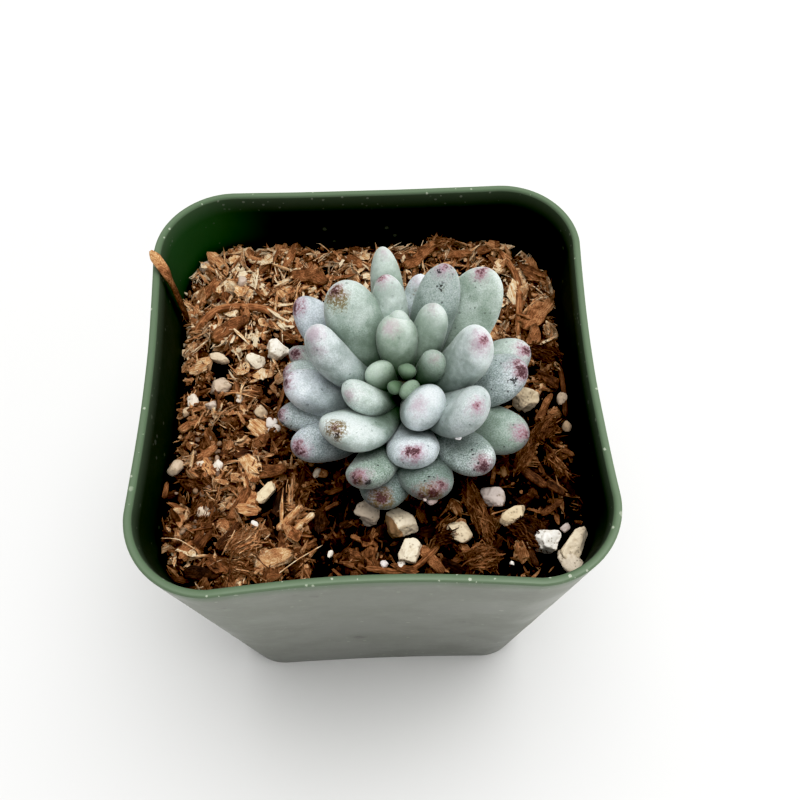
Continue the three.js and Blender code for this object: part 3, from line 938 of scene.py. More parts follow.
def matting(x, y):
    # how thickly fine husk covers the soil: most at the left and the back, least at the right front
    v = soilValues
    patchy = ripple(x, y, v["matSize"], 33.0) + 0.6 * ripple(x, y, 1.8, 5.0)
    side = slope(-x, *v["matLeft"]) + slope(y, *v["matBack"]) + slope(x - y, *v["matFront"])
    return smoothStep(patchy + side, -0.1, 0.3)


def groundTone(x, y):
    # a shift of the loose pieces' tone: paler at the left, paler towards the back wall as painted light that
    # lifts the wall's shade, and darker round a spot at the front
    v = soilValues
    side = 0.06 + slope(-x, *v["toneLeft"]) + slope(y, *v["paintedLightBack"])
    away = (x - v["darkSpotPlace"][0]) ** 2 + (y - v["darkSpotPlace"][1]) ** 2
    darkSpot = v["darkSpotDepth"] * math.exp(-away / v["darkSpotSize"] ** 2)
    return side - darkSpot + 0.16 * (matting(x, y) - 0.5) + 0.2 * ripple(x, y, 3.1, 51.0)


def clodHeight(x, y):
    v = soilValues
    clods = 0.5 * ripple(x, y, v["clodSize"], 3.0) + 0.3 * ripple(x, y, 0.8, 8.0)
    pits = max(0.0, ripple(x, y, v["pitSize"], 21.0) - 0.08)
    edge = 1 - smoothStep(wallDistance(x, y), 0.0, v["wallReach"])
    return (v["clods"] * clods - v["pits"] * pits + v["mats"] * (matting(x, y) - 0.6) - v["wallFall"] * edge)


def makeSoilBed(v, material):
    cells = v["cells"]
    width = cells + 1
    reach = outlineReach(v["level"], potValues["wall"] + v["gap"])
    vertices = []
    ground = {"openGround": [], "clodDepth": [], "matting": [], "groundTone": []}
    for row in range(width):
        for column in range(width):
            a, b = 2 * column / cells - 1, 2 * row / cells - 1
            ring = max(abs(a), abs(b))
            distance = reach(math.atan2(b, a)) * ring if ring else 0.0
            length = math.hypot(a, b) or 1.0
            x, y = a / length * distance, b / length * distance
            clod = clodHeight(x, y) * smoothStep(stemDistance(x, y), 3.0, 7.0)
            vertices.append((x, y, soilHeight(x, y) + clod - v["sunk"]))
            for key, value in zip(ground, (openGround(x, y), clod, matting(x, y), groundTone(x, y))):
                ground[key].append(value)
    faces = []
    for row in range(cells):
        for k in range(row * width, row * width + cells):
            faces.append((k, k + 1, k + width + 1, k + width))
    edge = list(range(width))
    edge += [row * width + cells for row in range(1, width)]
    edge += [cells * width + column for column in range(cells - 1, -1, -1)]
    edge += [row * width for row in range(cells - 1, 0, -1)]
    above = edge
    for level in (*v["sideLevels"], v["bottom"]):
        inset = potValues["wall"] + v["gap"] + (v["bottomInset"] if level == v["bottom"] else 0.0)
        reach = outlineReach(level, inset)
        first = len(vertices)
        for k in edge:
            angle = math.atan2(vertices[k][1], vertices[k][0])
            vertices.append((math.cos(angle) * reach(angle), math.sin(angle) * reach(angle), level))
        for i in range(len(edge)):
            j = (i + 1) % len(edge)
            faces.append((above[j], above[i], first + i, first + j))
        above = list(range(first, first + len(edge)))
    faces.append(tuple(reversed(above)))
    mesh = makeMesh("soilBed", vertices, faces)
    for key, values in ground.items():
        addValues(mesh, key, values + [0.0] * (len(vertices) - len(values)))
    return makePiece("soilBed", mesh, material)


barkColours = [
    (0.0, (0.006, 0.0035, 0.0025)),
    (0.2, (0.024, 0.010, 0.006)),
    (0.4, (0.110, 0.040, 0.015)),
    (0.58, (0.300, 0.125, 0.047)),
    (0.76, (0.570, 0.315, 0.145)),
    (0.9, (0.760, 0.550, 0.340)),
    (1.0, (0.880, 0.760, 0.570)),
]


def makeSoilEarth():
    material, nodes, skin = newMaterial("soilEarth", 0.9, 0.15)
    place = nodes.objectPlace()
    fine = nodes.grain(place, 1900.0, 5.0, 0.75)
    tone = nodes.plus(nodes.times(nodes.grain(place, 520.0, 5.0, 0.65), 0.45), nodes.times(fine, 0.6))
    # painted shade: the earth is darker in the pits and where it falls at the wall, and paler on the clods
    tone = nodes.plus(tone, nodes.times(nodes.attribute("clodDepth"), 0.22))
    tone = nodes.plus(tone, nodes.times(nodes.attribute("matting"), 0.18))
    nodes.feed(skin["Base Color"], nodes.ramp(nodes.span(tone, 0.42, 1.3), barkColours))
    nodes.feed(skin["Normal"], nodes.bump(fine, 1.0, 0.0007))
    return material


def makeBark():
    # one wood for every loose piece: its tone comes from the piece, its streaks run along it
    material, nodes, skin = newMaterial("barkWood", 0.72, 0.25)
    shift = nodes.attribute("pieceTone")
    inputs = {"Vector": nodes.attribute("grainPlace", "Vector"), "Scale": (0.25, 2.4, 2.4)}
    along = nodes.add("ShaderNodeMapping", inputs).outputs["Vector"]
    apart = nodes.add("ShaderNodeCombineXYZ", {"Z": nodes.times(shift, 40.0)}).outputs["Vector"]
    streaks = nodes.grain(nodes.vector("ADD", along, apart)["Vector"], 2.4, 6.0, 0.75)
    stain = nodes.mask(cloudGroup, Place=nodes.objectPlace(), Scale=800.0, Low=0.4, High=0.68)
    tone = nodes.plus(shift, nodes.times(nodes.minus(streaks, 0.5), 1.15))
    tone = nodes.minus(tone, nodes.times(stain, 0.16))
    nodes.feed(skin["Base Color"], nodes.ramp(tone, barkColours))
    nodes.feed(skin["Normal"], nodes.bump(streaks, 0.9, 0.0003))
    return material


bark = makeBark()
soilBed = makeSoilBed(soilValues, makeSoilEarth())
settle(soilBed, "soil", "soil")
print("soil bed made")


# Loose pieces are laid by one scatter tree, from small sets of shapes.
def finishShape(name, vertices, faces):
    mesh = makeMesh(name, vertices, faces)
    mesh.shade_flat()
    addVectors(mesh, "grainPlace", vertices)
    return bpy.data.objects.new(name, mesh)


def about(stream, centre=0.5):
    # a random part from 0 to 1, less its centre
    return next(stream) - centre


def drawnSize(stream, pair):
    return pair[0] + pair[1] * next(stream)


def tornShape(name, stream, rings, sides, length, width, thickness, bend):
    # a torn slab or splinter: a flat bar along X with ragged ends, a bend and a twist
    vertices = []
    twist = 1.2 * about(stream)
    frayed = [0.5 + 0.5 * next(stream) for _ in range(sides)]
    for i in range(rings + 1):
        part = i / rings
        taper = 1 - 0.8 * abs(2 * part - 1) ** 3
        lift = bend * length * (4 * (part - 0.5) ** 2 - 0.3)
        lean = twist * (part - 0.5)
        for turn, fray in zip(around(sides), frayed):
            reach = fray if i in (0, rings) else 1
            x = (part - 0.5) * length * reach + 0.08 * length * about(stream)
            wide = math.cos(turn) * width / 2 * taper * (0.65 + 0.7 * next(stream))
            high = math.sin(turn) * thickness / 2 * taper * (0.6 + 0.7 * next(stream))
            vertices.append((x, wide * math.cos(lean) - high * math.sin(lean),
                             wide * math.sin(lean) + high * math.cos(lean) + lift))
    return finishShape(name, vertices, tubeFaces(0, rings + 1, sides))


def addStrand(vertices, faces, stream, columns, length, radius, curl, shift):
    first = len(vertices)
    bendY = curl * about(stream)
    bendZ = curl * 0.5 * about(stream, 0.3)
    phase = 6 * next(stream)
    for i in range(columns + 1):
        part = i / columns
        x = (part - 0.5) * length
        y = bendY * length * math.sin(3.4 * part + phase)
        z = bendZ * length * math.sin(2.6 * part + phase)
        thin = 0.35 + 0.65 * math.sin(math.pi * min(max(part, 0.08), 0.92))
        for turn in around(3):
            vertices.append((x + shift[0], y + shift[1] + radius * thin * math.cos(turn),
                             z + shift[2] + radius * thin * math.sin(turn)))
    faces += tubeFaces(first, columns + 1, 3)


def tuftShape(name, stream, strands, columns, length, radius, curl, width):
    # strands of husk that lie side by side
    vertices, faces = [], []
    for _ in range(strands):
        shift = (0.5 * length * about(stream), width * about(stream), 0.5 * width * about(stream))
        reach = length * (0.5 + 0.6 * next(stream))
        addStrand(vertices, faces, stream, columns, reach, radius * (0.6 + 0.8 * next(stream)), curl, shift)
    return finishShape(name, vertices, faces)


def crumbShape(name, stream, size):
    points, faces = makeBall(1)
    vertices = [tuple(part * size * (0.6 + 0.7 * next(stream)) * squash
                      for part, squash in zip(point, (1.1, 0.85, 0.65))) for point in points]
    return finishShape(name, vertices, faces)


def collectShapes(name, shapes):
    collection = bpy.data.collections.new(name)
    for shape in shapes:
        collection.objects.link(shape)
    return collection


# The small shapes of the scatter. A pair is a least value and what chance adds to it.
shapeValues = {
    "seed": 17,
    "chip": {"count": 8, "rings": 4, "sides": 6, "length": (3.4, 2.6), "width": (1.2, 1.3),
             "thickness": (0.5, 0.4), "bend": 0.1},
    "splinter": {"count": 8, "rings": 5, "sides": 4, "length": (2.8, 3.6), "width": (0.35, 0.35),
                 "thickness": (0.28, 0.2), "bend": 0.2},
    "tuft": {"count": 8, "strands": 4, "columns": 4, "length": (3.4, 2.4), "radius": 0.12, "curl": 0.3,
             "width": 1.1},
    "strand": {"count": 6, "strands": 2, "columns": 5, "length": (2.4, 1.2), "radius": 0.11, "curl": 0.25,
               "width": 0.4},
    "crumb": {"count": 6, "size": 0.42},
}


def tornShapes(name, stream):
    v = shapeValues[name]
    return [tornShape(f"{name}{k}", stream, v["rings"], v["sides"], drawnSize(stream, v["length"]),
                      drawnSize(stream, v["width"]), drawnSize(stream, v["thickness"]),
                      v["bend"] * about(stream, 0.4)) for k in range(v["count"])]


def tuftShapes(name, stream):
    v = shapeValues[name]
    return [tuftShape(f"{name}{k}", stream, v["strands"], v["columns"], drawnSize(stream, v["length"]),
                      v["radius"], v["curl"], v["width"]) for k in range(v["count"])]


def makeShapes():
    stream = makeRandom(shapeValues["seed"])
    sets = {"barkChips": tornShapes("chip", stream), "barkSplinters": tornShapes("splinter", stream),
            "huskTufts": tuftShapes("tuft", stream), "clumpStrands": tuftShapes("strand", stream)}
    crumb = shapeValues["crumb"]
    sets["barkCrumbs"] = [crumbShape(f"crumb{k}", stream, crumb["size"]) for k in range(crumb["count"])]
    return {name: collectShapes(name, its) for name, its in sets.items()}


def makeScatterTree():
    tree = bpy.data.node_groups.new("scatterLoosePieces", "GeometryNodeTree")
    ports = [("Geometry", "Geometry"), ("Shapes", "Collection"), ("Material", "Material"), ("Seed", "Int")]
    numbers = ("Density", "Smallest", "Largest", "Tilt", "Darkest", "Palest", "Lift", "Mat Share",
               "Tone Share", "Stray")
    ports += [(port, "Float") for port in numbers]
    for port, kind in ports:
        tree.interface.new_socket(port, in_out="INPUT", socket_type="NodeSocket" + kind)
    tree.interface.new_socket("Geometry", in_out="OUTPUT", socket_type="NodeSocketGeometry")
    nodes = Nodes(tree)
    into = nodes.add("NodeGroupInput").outputs

    def stored(name):
        # a value that the ground holds at each of its points
        return nodes.add("GeometryNodeInputNamedAttribute", {"Name": name}, data_type="FLOAT").outputs[0]

    def drawn(step, low, high, kind="FLOAT"):
        # a random value at each point: a vector has the first pair of sockets, a float the next
        first, out = (0, 0) if kind == "FLOAT_VECTOR" else (2, 1)
        inputs = {first: low, first + 1: high, "Seed": nodes.plus(into["Seed"], float(step))}
        return nodes.add("FunctionNodeRandomValue", inputs, data_type=kind).outputs[out]

    def joined(**parts):
        return nodes.add("ShaderNodeCombineXYZ", parts).outputs["Vector"]

    def drawnTurn(step, **spreads):
        # a turn about each axis, drawn within plus or minus its spread
        widest = joined(**spreads)
        least = nodes.add("ShaderNodeVectorMath", {0: widest, "Scale": -1.0}, operation="SCALE")
        return drawn(step, least.outputs["Vector"], widest, "FLOAT_VECTOR")

    def asRotation(angles):
        return nodes.add("FunctionNodeEulerToRotation", {0: angles}).outputs[0]

    bare = nodes.times(nodes.minus(1.0, stored("matting")), into["Mat Share"])
    kept = nodes.times(stored("openGround"), nodes.minus(1.0, bare))
    inputs = {"Mesh": into["Geometry"], "Density": nodes.times(kept, into["Density"]), "Seed": into["Seed"]}
    place = nodes.add("GeometryNodeDistributePointsOnFaces", inputs).outputs
    lift = joined(Z=nodes.times(drawn(3, 0.0, 1.0), into["Lift"]))
    raised = nodes.add("GeometryNodeSetPosition", {"Geometry": place["Points"], "Offset": lift})
    headed = nodes.vector("ADD", joined(Z=stored("heading")), drawnTurn(5, Z=into["Stray"]))["Vector"]
    inputs = {"Rotation": asRotation(headed), "Vector": place["Normal"]}
    stood = nodes.add("FunctionNodeAlignRotationToVector", inputs, axis="Z")
    inputs = {0: stood.outputs["Rotation"], 1: asRotation(drawnTurn(7, X=into["Tilt"], Y=into["Tilt"]))}
    turned = nodes.add("FunctionNodeRotateRotation", inputs, rotation_space="LOCAL")
    inputs = {"Collection": into["Shapes"], "Separate Children": True, "Reset Children": True}
    shapes = nodes.add("GeometryNodeCollectionInfo", inputs)
    spread = nodes.maths("POWER", drawn(11, 0.0, 1.0), 2.2)
    inputs = {"Value": spread, "To Min": into["Smallest"], "To Max": into["Largest"]}
    size = nodes.add("ShaderNodeMapRange", inputs)
    inputs = {"Points": raised.outputs["Geometry"], "Instance": shapes.outputs[0], "Pick Instance": True,
              "Rotation": turned.outputs[0], "Scale": size.outputs["Result"]}
    laid = nodes.add("GeometryNodeInstanceOnPoints", inputs)
    # the ground's tone brings its painted light at the back onto each piece
    tone = nodes.plus(drawn(13, into["Darkest"], into["Palest"]),
                      nodes.times(stored("groundTone"), into["Tone Share"]))
    inputs = {"Geometry": laid.outputs["Instances"], "Name": "pieceTone", "Value": tone}
    toned = nodes.add("GeometryNodeStoreNamedAttribute", inputs, data_type="FLOAT", domain="INSTANCE")
    real = nodes.add("GeometryNodeRealizeInstances", {"Geometry": toned.outputs["Geometry"]})
    inputs = {"Geometry": real.outputs["Geometry"], "Material": into["Material"]}
    painted = nodes.add("GeometryNodeSetMaterial", inputs)
    nodes.add("NodeGroupOutput", {"Geometry": painted.outputs["Geometry"]})
    return tree


scatterTree = makeScatterTree()


def scatter(name, changes, shapes, ground):
    v = {**scatterDefaults, **changes}
    piece = makePiece(name, ground.copy(), bark)
    layer = piece.modifiers.new("scatter", "NODES")
    layer.node_group = scatterTree
    values = {"Shapes": shapes, "Material": bark, "Density": v["perSquareMm"] * 1e6, "Seed": v["seed"],
              "Smallest": v["smallest"], "Largest": v["largest"], "Tilt": math.radians(v["tilt"]),
              "Darkest": v["darkest"], "Palest": v["palest"], "Lift": v["lift"] * mm,
              "Mat Share": v["matShare"], "Tone Share": v["toneShare"], "Stray": math.radians(v["stray"])}
    for socket in scatterTree.interface.items_tree:
        if socket.in_out == "INPUT" and socket.name in values:
            layer[socket.identifier] = values[socket.name]
    bakeModifiers(piece)
    keepInside(piece.data)
    settle(piece, "bark")
    print(name, len(piece.data.polygons))


def keepInside(mesh):
    # what would poke through the wall is pressed against it
    for vertex in mesh.vertices:
        x, y = vertex.co.x / mm, vertex.co.y / mm
        limit = wallReach(math.atan2(y, x)) - soilValues["clearance"]
        if math.hypot(x, y) > limit:
            vertex.co.x *= limit / math.hypot(x, y)
            vertex.co.y *= limit / math.hypot(x, y)


def makeGround(bed):
    # only the top of the bed carries loose pieces
    top = bmesh.new()
    top.from_mesh(bed.data)
    low = (soilValues["level"] - soilValues["topDepth"]) * mm
    buried = [vertex for vertex in top.verts if vertex.co.z < low]
    bmesh.ops.delete(top, geom=buried, context="VERTS")
    mesh = bpy.data.meshes.new("ground")
    top.to_mesh(mesh)
    top.free()
    addValues(mesh, "heading", [0.0] * len(mesh.vertices))
    return mesh


# Each layer of loose pieces: how many, their sizes, tilt, tones and lift. The mat share keeps them
# to the husk, the tone share to the ground's tone, and the stray turns them from its heading.
scatterDefaults = {"matShare": 0.6, "toneShare": 1.0, "stray": 180}

scatterValues = {
    "barkChips": {"perSquareMm": 0.4, "seed": 3, "smallest": 0.35, "largest": 1.15, "tilt": 28,
                  "darkest": 0.2, "palest": 0.72, "lift": 0.7},
    "barkSplinters": {"perSquareMm": 0.5, "seed": 21, "smallest": 0.3, "largest": 1.1, "tilt": 20,
                      "darkest": 0.2, "palest": 0.76, "lift": 0.9},
    "huskTufts": {"perSquareMm": 0.3, "seed": 40, "smallest": 0.35, "largest": 1.1, "tilt": 18,
                  "darkest": 0.28, "palest": 0.7, "lift": 0.9, "matShare": 0.9},
    "barkCrumbs": {"perSquareMm": 3.0, "seed": 57, "smallest": 0.3, "largest": 1.3, "tilt": 90,
                   "darkest": 0.05, "palest": 0.7, "lift": 0.6, "matShare": 0.75},
}

clumpStrandValues = {"perSquareMm": 6.0, "seed": 61, "smallest": 0.5, "largest": 1.1, "tilt": 16,
                     "darkest": -0.14, "palest": 0.16, "lift": 0.25, "matShare": 0.0, "stray": 34}

# Clumps of husk: x, y, length, width, height, yaw and tone.
clumpTable = [
    (-17.6, -22.0, 4.6, 3.6, 2.0, 35, 0.74),
    (-18.4, -25.4, 3.2, 2.2, 1.4, 12, 0.66),
    (14.4, -25.0, 4.2, 3.0, 2.6, 10, 0.60),
    (21.2, -21.4, 5.0, 3.6, 2.4, -40, 0.36),
    (14.4, -18.2, 8.6, 2.2, 1.4, -72, 0.56),
    (26.6, 7.0, 4.4, 2.6, 2.2, -28, 0.42),
    (25.0, -5.8, 4.6, 2.4, 1.6, 40, 0.50),
    (21.6, -10.2, 5.0, 1.8, 1.6, 62, 0.56),
    (26.2, -11.4, 3.6, 1.4, 1.2, -62, 0.60),
    (11.6, 28.2, 3.4, 1.8, 2.4, 5, 0.62),
    (9.8, -22.0, 2.6, 2.2, 1.8, 10, 0.34),
    (-23.6, -17.0, 4.4, 3.4, 1.8, 70, 0.50),
    (-24.6, -12.6, 4.0, 3.0, 1.6, -30, 0.46),
]


def makeClumps():
    # low mounds that the strands grow out of
    vertices, faces, tones, headings = [], [], [], []
    points, corners = makeBall(4)
    for number, (x, y, length, width, height, yaw, tone) in enumerate(clumpTable):
        stand = Matrix.Translation(Vector((x, y, soilHeight(x, y) + 0.15 * height)))
        stand = stand @ Matrix.Rotation(math.radians(yaw), 4, "Z")
        stand = stand @ Matrix.Diagonal((length / 2, width / 2, height / 2, 1))
        faces += [tuple(len(vertices) + k for k in face) for face in corners]
        for point in points:
            rough = 1 + 0.35 * wobble(point.x, point.y * 0.4, point.z, 0.5, number)
            vertices.append(stand @ (point * rough))
            tones.append(tone)
            headings.append(math.radians(yaw))
    mesh = makeMesh("huskClumps", vertices, faces)
    addVectors(mesh, "grainPlace", vertices)
    full = [1.0] * len(tones)
    values = {"pieceTone": [tone - 0.1 for tone in tones], "groundTone": tones, "heading": headings,
              "openGround": full, "matting": full}
    for attribute, its in values.items():
        addValues(mesh, attribute, its)
    return mesh


ground = makeGround(soilBed)
shapes = makeShapes()
for name, values in scatterValues.items():
    scatter(name, values, shapes[name], ground)
clumps = makePiece("huskClumps", makeClumps(), bark)
scatter("clumpStrands", clumpStrandValues, shapes["clumpStrands"], clumps.data)
settle(clumps, "bark")
print("loose pieces laid")


# Pieces that show singly. A chip: x, y, length, width, thickness, yaw, tilt and tone.
chipTable = [
    (-13.9, -24.2, 5.2, 3.0, 1.6, 10, 6, 0.86),
    (-19.0, -16.4, 6.0, 1.8, 1.0, 60, 8, 0.60),
    (-19.9, -21.0, 4.4, 1.8, 1.0, 48, 8, 0.44),
    (-23.1, -26.2, 5.2, 2.0, 1.0, -4, 10, 0.28),
    (8.3, 26.0, 6.4, 2.4, 1.0, 34, 12, 0.62),
    (26.4, 14.8, 7.6, 3.8, 0.9, -124, 10, 0.70),
    (25.4, 23.6, 3.0, 1.6, 0.9, -40, 8, 0.42),
    (22.6, -13.8, 4.4, 1.5, 0.9, -48, 14, 0.46),
    (25.4, -15.4, 3.2, 1.3, 0.8, -42, 10, 0.42),
    (7.6, -24.9, 5.0, 1.8, 0.8, -55, 8, 0.64),
    (24.6, 8.6, 7.0, 2.6, 1.0, 70, 8, 0.66),
    (-9.6, 22.4, 6.6, 2.8, 1.2, -24, 10, 0.58),
    (-21.6, 12.6, 6.2, 2.6, 1.1, 30, 8, 0.60),
    (-14.6, -11.0, 4.4, 2.2, 0.9, 4, 8, 0.56),
    (-7.6, -11.4, 2.2, 1.6, 1.0, -20, 8, 0.72),
    (21.4, -25.0, 2.8, 1.0, 0.8, -74, 8, 0.40),
    (-24.0, -8.4, 4.0, 1.5, 0.9, 38, 8, 0.66),
    (25.4, -2.2, 5.0, 1.2, 0.8, 58, 12, 0.62),
    (22.2, -8.0, 4.6, 1.0, 0.8, 34, 10, 0.58),
    (13.8, 26.4, 5.6, 1.8, 0.9, -8, 8, 0.66),
    (-25.0, 21.4, 5.0, 2.0, 0.9, 50, 8, 0.64),
    (-26.8, -3.2, 3.4, 1.4, 0.8, 36, 8, 0.72),
    (-29.2, -13.8, 2.4, 0.8, 0.7, 80, 8, 0.62),
    (-17.8, -26.6, 2.6, 0.7, 0.6, 44, 8, 0.82),
    (-14.2, -26.4, 3.0, 1.8, 0.8, 8, 6, 0.60),
    (-5.9, -16.8, 2.2, 0.7, 0.6, 24, 8, 0.56),
    (-2.4, -21.7, 2.2, 0.8, 0.7, -30, 12, 0.64),
    (28.0, -9.4, 2.4, 0.9, 0.7, -40, 10, 0.62),
    (17.0, -12.6, 2.8, 0.7, 0.6, 80, 10, 0.64),
    (24.6, -18.2, 3.6, 1.0, 0.7, 30, 10, 0.48),
    (16.8, 21.6, 5.0, 2.0, 0.9, 40, 8, 0.68),
    (-2.0, 25.4, 4.6, 1.8, 0.9, -40, 8, 0.6),
    (19.4, 27.2, 4.0, 1.6, 0.8, 20, 8, 0.58),
    (-12.6, 26.8, 4.8, 1.6, 0.9, 64, 8, 0.66),
]

# Twigs: radius, tone, then points as x, y and lift above the soil.
twigTable = [
    (0.65, 0.68, [(-27.6, 13.1, 0.2), (-23.6, 16.9, 0.9), (-16.4, 16.8, 0.6), (-13.6, 13.4, 0.1)]),
    (0.5, 0.66, [(21.3, 27.1, 0.3), (23.7, 20.3, 0.9), (22.8, 10.5, 0.2)]),
    (0.5, 0.84, [(-13.6, -19.8, 0.1), (-11.8, -18.2, 0.7), (-10.0, -16.6, 1.1)]),
    (0.45, 0.90, [(-12.2, -20.6, 0.1), (-10.3, -19.2, 0.6), (-8.4, -17.8, 0.9)]),
    (0.45, 0.58, [(-4.2, -22.9, 0.2), (-2.1, -24.4, 0.5), (-0.4, -25.6, 0.2)]),
    (0.45, 0.60, [(-4.9, -24.8, 0.1), (-0.3, -26.1, 0.5), (4.7, -26.1, 0.5), (8.9, -22.9, 0.2)]),
    (0.4, 0.44, [(28.5, 4.6, 0.5), (28.6, 0.4, 0.7), (28.4, -3.8, 0.4)]),
    (0.08, 0.95, [(-13.8, -26.8, 0.7), (-10.6, -24.6, 1.6), (-7.2, -22.4, 1.2)]),
    (0.07, 0.95, [(-29.2, -20.9, 1.4), (-26.6, -21.4, 1.6), (-24.4, -22.6, 1.0)]),
]

# A thin piece of bark that leans against the wall, from its foot to its tip. Its tone runs from pale at the
# tip, raised as painted light, to dark at the foot, as painted shade.
sliverValues = {
    "radius": 0.55,
    "flat": 1.35,
    "topTone": 0.86,
    "paintedShadeFootTone": 0.34,
    "points": [(-28.6, 15.8, 54.0), (-29.2, 16.6, 61.0), (-29.8, 17.2, 65.3), (-31.6, 19.2, 68.0)],
}


def startShape():
    return {"vertices": [], "faces": [], "grain": [], "tone": []}


# How split bark is worn: depths as a share of the size.
chipValues = {
    "rings": 30,
    "sides": 36,
    "sunk": 0.35,
    "narrowEnd": 0.74,
    "ridges": 0.2,
    "grooves": 0.16,
    "tornEnds": 0.22,
    "waver": 0.12,
    "hump": 0.3,
    "toneSpread": 0.1,
}

twigValues = {
    "rings": 40,
    "sides": 14,
    "thinnest": 0.25,
    "ridges": 0.3,
    "squash": 0.8,
    "swell": 1.05,
}


def addChip(shape, row, number):
    # a split slab of bark: grooves run along it and its ends are torn
    v = chipValues
    rings, sides = v["rings"], v["sides"]
    x, y, length, width, thickness, yaw, tilt, tone = row
    turn = Matrix.Rotation(math.radians(yaw), 3, "Z") @ Matrix.Rotation(math.radians(-tilt), 3, "Y")
    turn = turn @ Matrix.Rotation(math.radians(tilt * 0.8), 3, "X")
    centre = Vector((x, y, soilHeight(x, y) + thickness * 0.25 + v["sunk"]))
    shape["faces"] += tubeFaces(len(shape["vertices"]), rings, sides)
    for ring in range(rings):
        part = ring / (rings - 1)
        taper = max(0.05, 1 - abs(2 * part - 1) ** 5) ** 0.5 * lerp(1.0, v["narrowEnd"], part)
        for angle in around(sides):
            across, over = math.cos(angle), math.sin(angle)
            ridge = 1 + v["ridges"] * wobble(across * 2.2, over * 2.2, part * 1.1, 1.0, number)
            ridge += v["grooves"] * wobble(across * 8, over * 8, part * 1.6, 1.0, number + 60)
            torn = v["tornEnds"] * wobble(across * 4, over * 4, 0.0, 1.0, number + 30)
            flat = math.copysign(abs(over) ** 0.6, over)
            wide = math.copysign(abs(across) ** 0.7, across)
            point = Vector(((part - 0.5 + torn * (part - 0.5)) * length,
                            wide * width / 2 * taper * ridge,
                            flat * thickness / 2 * taper * ridge))
            point.y += v["waver"] * width * wobble(point.x, 0.0, 0.0, 2.0, number + 3)
            point.z += v["hump"] * thickness * wobble(point.x, point.y, 0.0, 2.2, number + 9)
            shape["grain"].append(tuple(point))
            shape["vertices"].append(centre + turn @ point)
            shape["tone"].append(tone + v["toneSpread"] * wobble(*point, 1.4, number + 5))


def curvePoint(points, t):
    # a smooth curve through the points, for t from 0 to 1
    spans = len(points) - 1
    k = min(int(t * spans), spans - 1)
    u = t * spans - k
    p = [Vector(points[min(max(k + step, 0), spans)]) for step in (-1, 0, 1, 2)]
    return 0.5 * (2 * p[1] + (p[2] - p[0]) * u + (2 * p[0] - 5 * p[1] + 4 * p[2] - p[3]) * u * u
                  + (3 * p[1] - p[0] - 3 * p[2] + p[3]) * u ** 3)


def addTwig(shape, points, radius, tones, number, flat=1.0):
    v = twigValues
    rings, sides = v["rings"], v["sides"]
    shape["faces"] += tubeFaces(len(shape["vertices"]), rings, sides)
    up = Vector((0.2, 0.1, 1.0)).normalized()
    for ring in range(rings):
        t = ring / (rings - 1)
        centre = curvePoint(points, t)
        ahead = (curvePoint(points, min(t + 0.02, 1)) - curvePoint(points, max(t - 0.02, 0))).normalized()
        across = ahead.cross(up).normalized()
        over = across.cross(ahead)
        thin = max(v["thinnest"], min(1.0, 6 * t + 0.3, 6 * (1 - t) + 0.3))
        for angle in around(sides):
            cosine, sine = math.cos(angle), math.sin(angle)
            ridge = 1 + v["ridges"] * wobble(cosine * 1.6, sine * 1.6, t * 3, 1.0, number)
            reach = radius * thin * ridge * v["swell"]
            push = across * cosine * reach * flat + over * sine * reach * v["squash"] / flat
            shape["vertices"].append(centre + push)
            shape["grain"].append((t * 12, cosine * radius, sine * radius))
            shape["tone"].append(lerp(tones[0], tones[1], t))


def finishPiece(name, shape, *nodes):
    mesh = makeMesh(name, shape["vertices"], shape["faces"])
    addVectors(mesh, "grainPlace", shape["grain"])
    addValues(mesh, "pieceTone", shape["tone"])
    settle(makePiece(name, mesh, bark), "bark", *nodes)


def layOnSoil(points):
    return [(x, y, soilHeight(x, y) + lift) for x, y, lift in points]


chips = startShape()
for number, row in enumerate(chipTable):
    addChip(chips, row, number)
finishPiece("placedChips", chips)

twigs = startShape()
for number, (radius, tone, points) in enumerate(twigTable):
    addTwig(twigs, layOnSoil(points), radius, (tone, tone), number)
finishPiece("twigs", twigs)

leaning = startShape()
sliverTones = (sliverValues["paintedShadeFootTone"], sliverValues["topTone"])
addTwig(leaning, sliverValues["points"], sliverValues["radius"], sliverTones, 44, sliverValues["flat"])
finishPiece("leaningSliver", leaning, "sliver")
print("single chips and twigs made")


# Pale mineral grains: worn pebbles with facets, fine pits and a little dirt.
# How each grain of the table looks: warmth, then the side that is stained and how much.
grainLooks = [
    (0.6, 0, 0.0), (0.8, 90, 0.15), (0.2, 0, 0.1), (0.9, 180, 0.2), (1.0, 0, 0.2), (0.9, 215, 1.0),
    (0.6, 200, 0.3), (0.9, 180, 0.2), (0.9, 0, 0.1), (0.8, 0, 0.0), (0.8, 0, 0.1), (0.8, 0, 0.1),
    (0.6, 0, 0.3), (1.0, 0, 0.1),
]

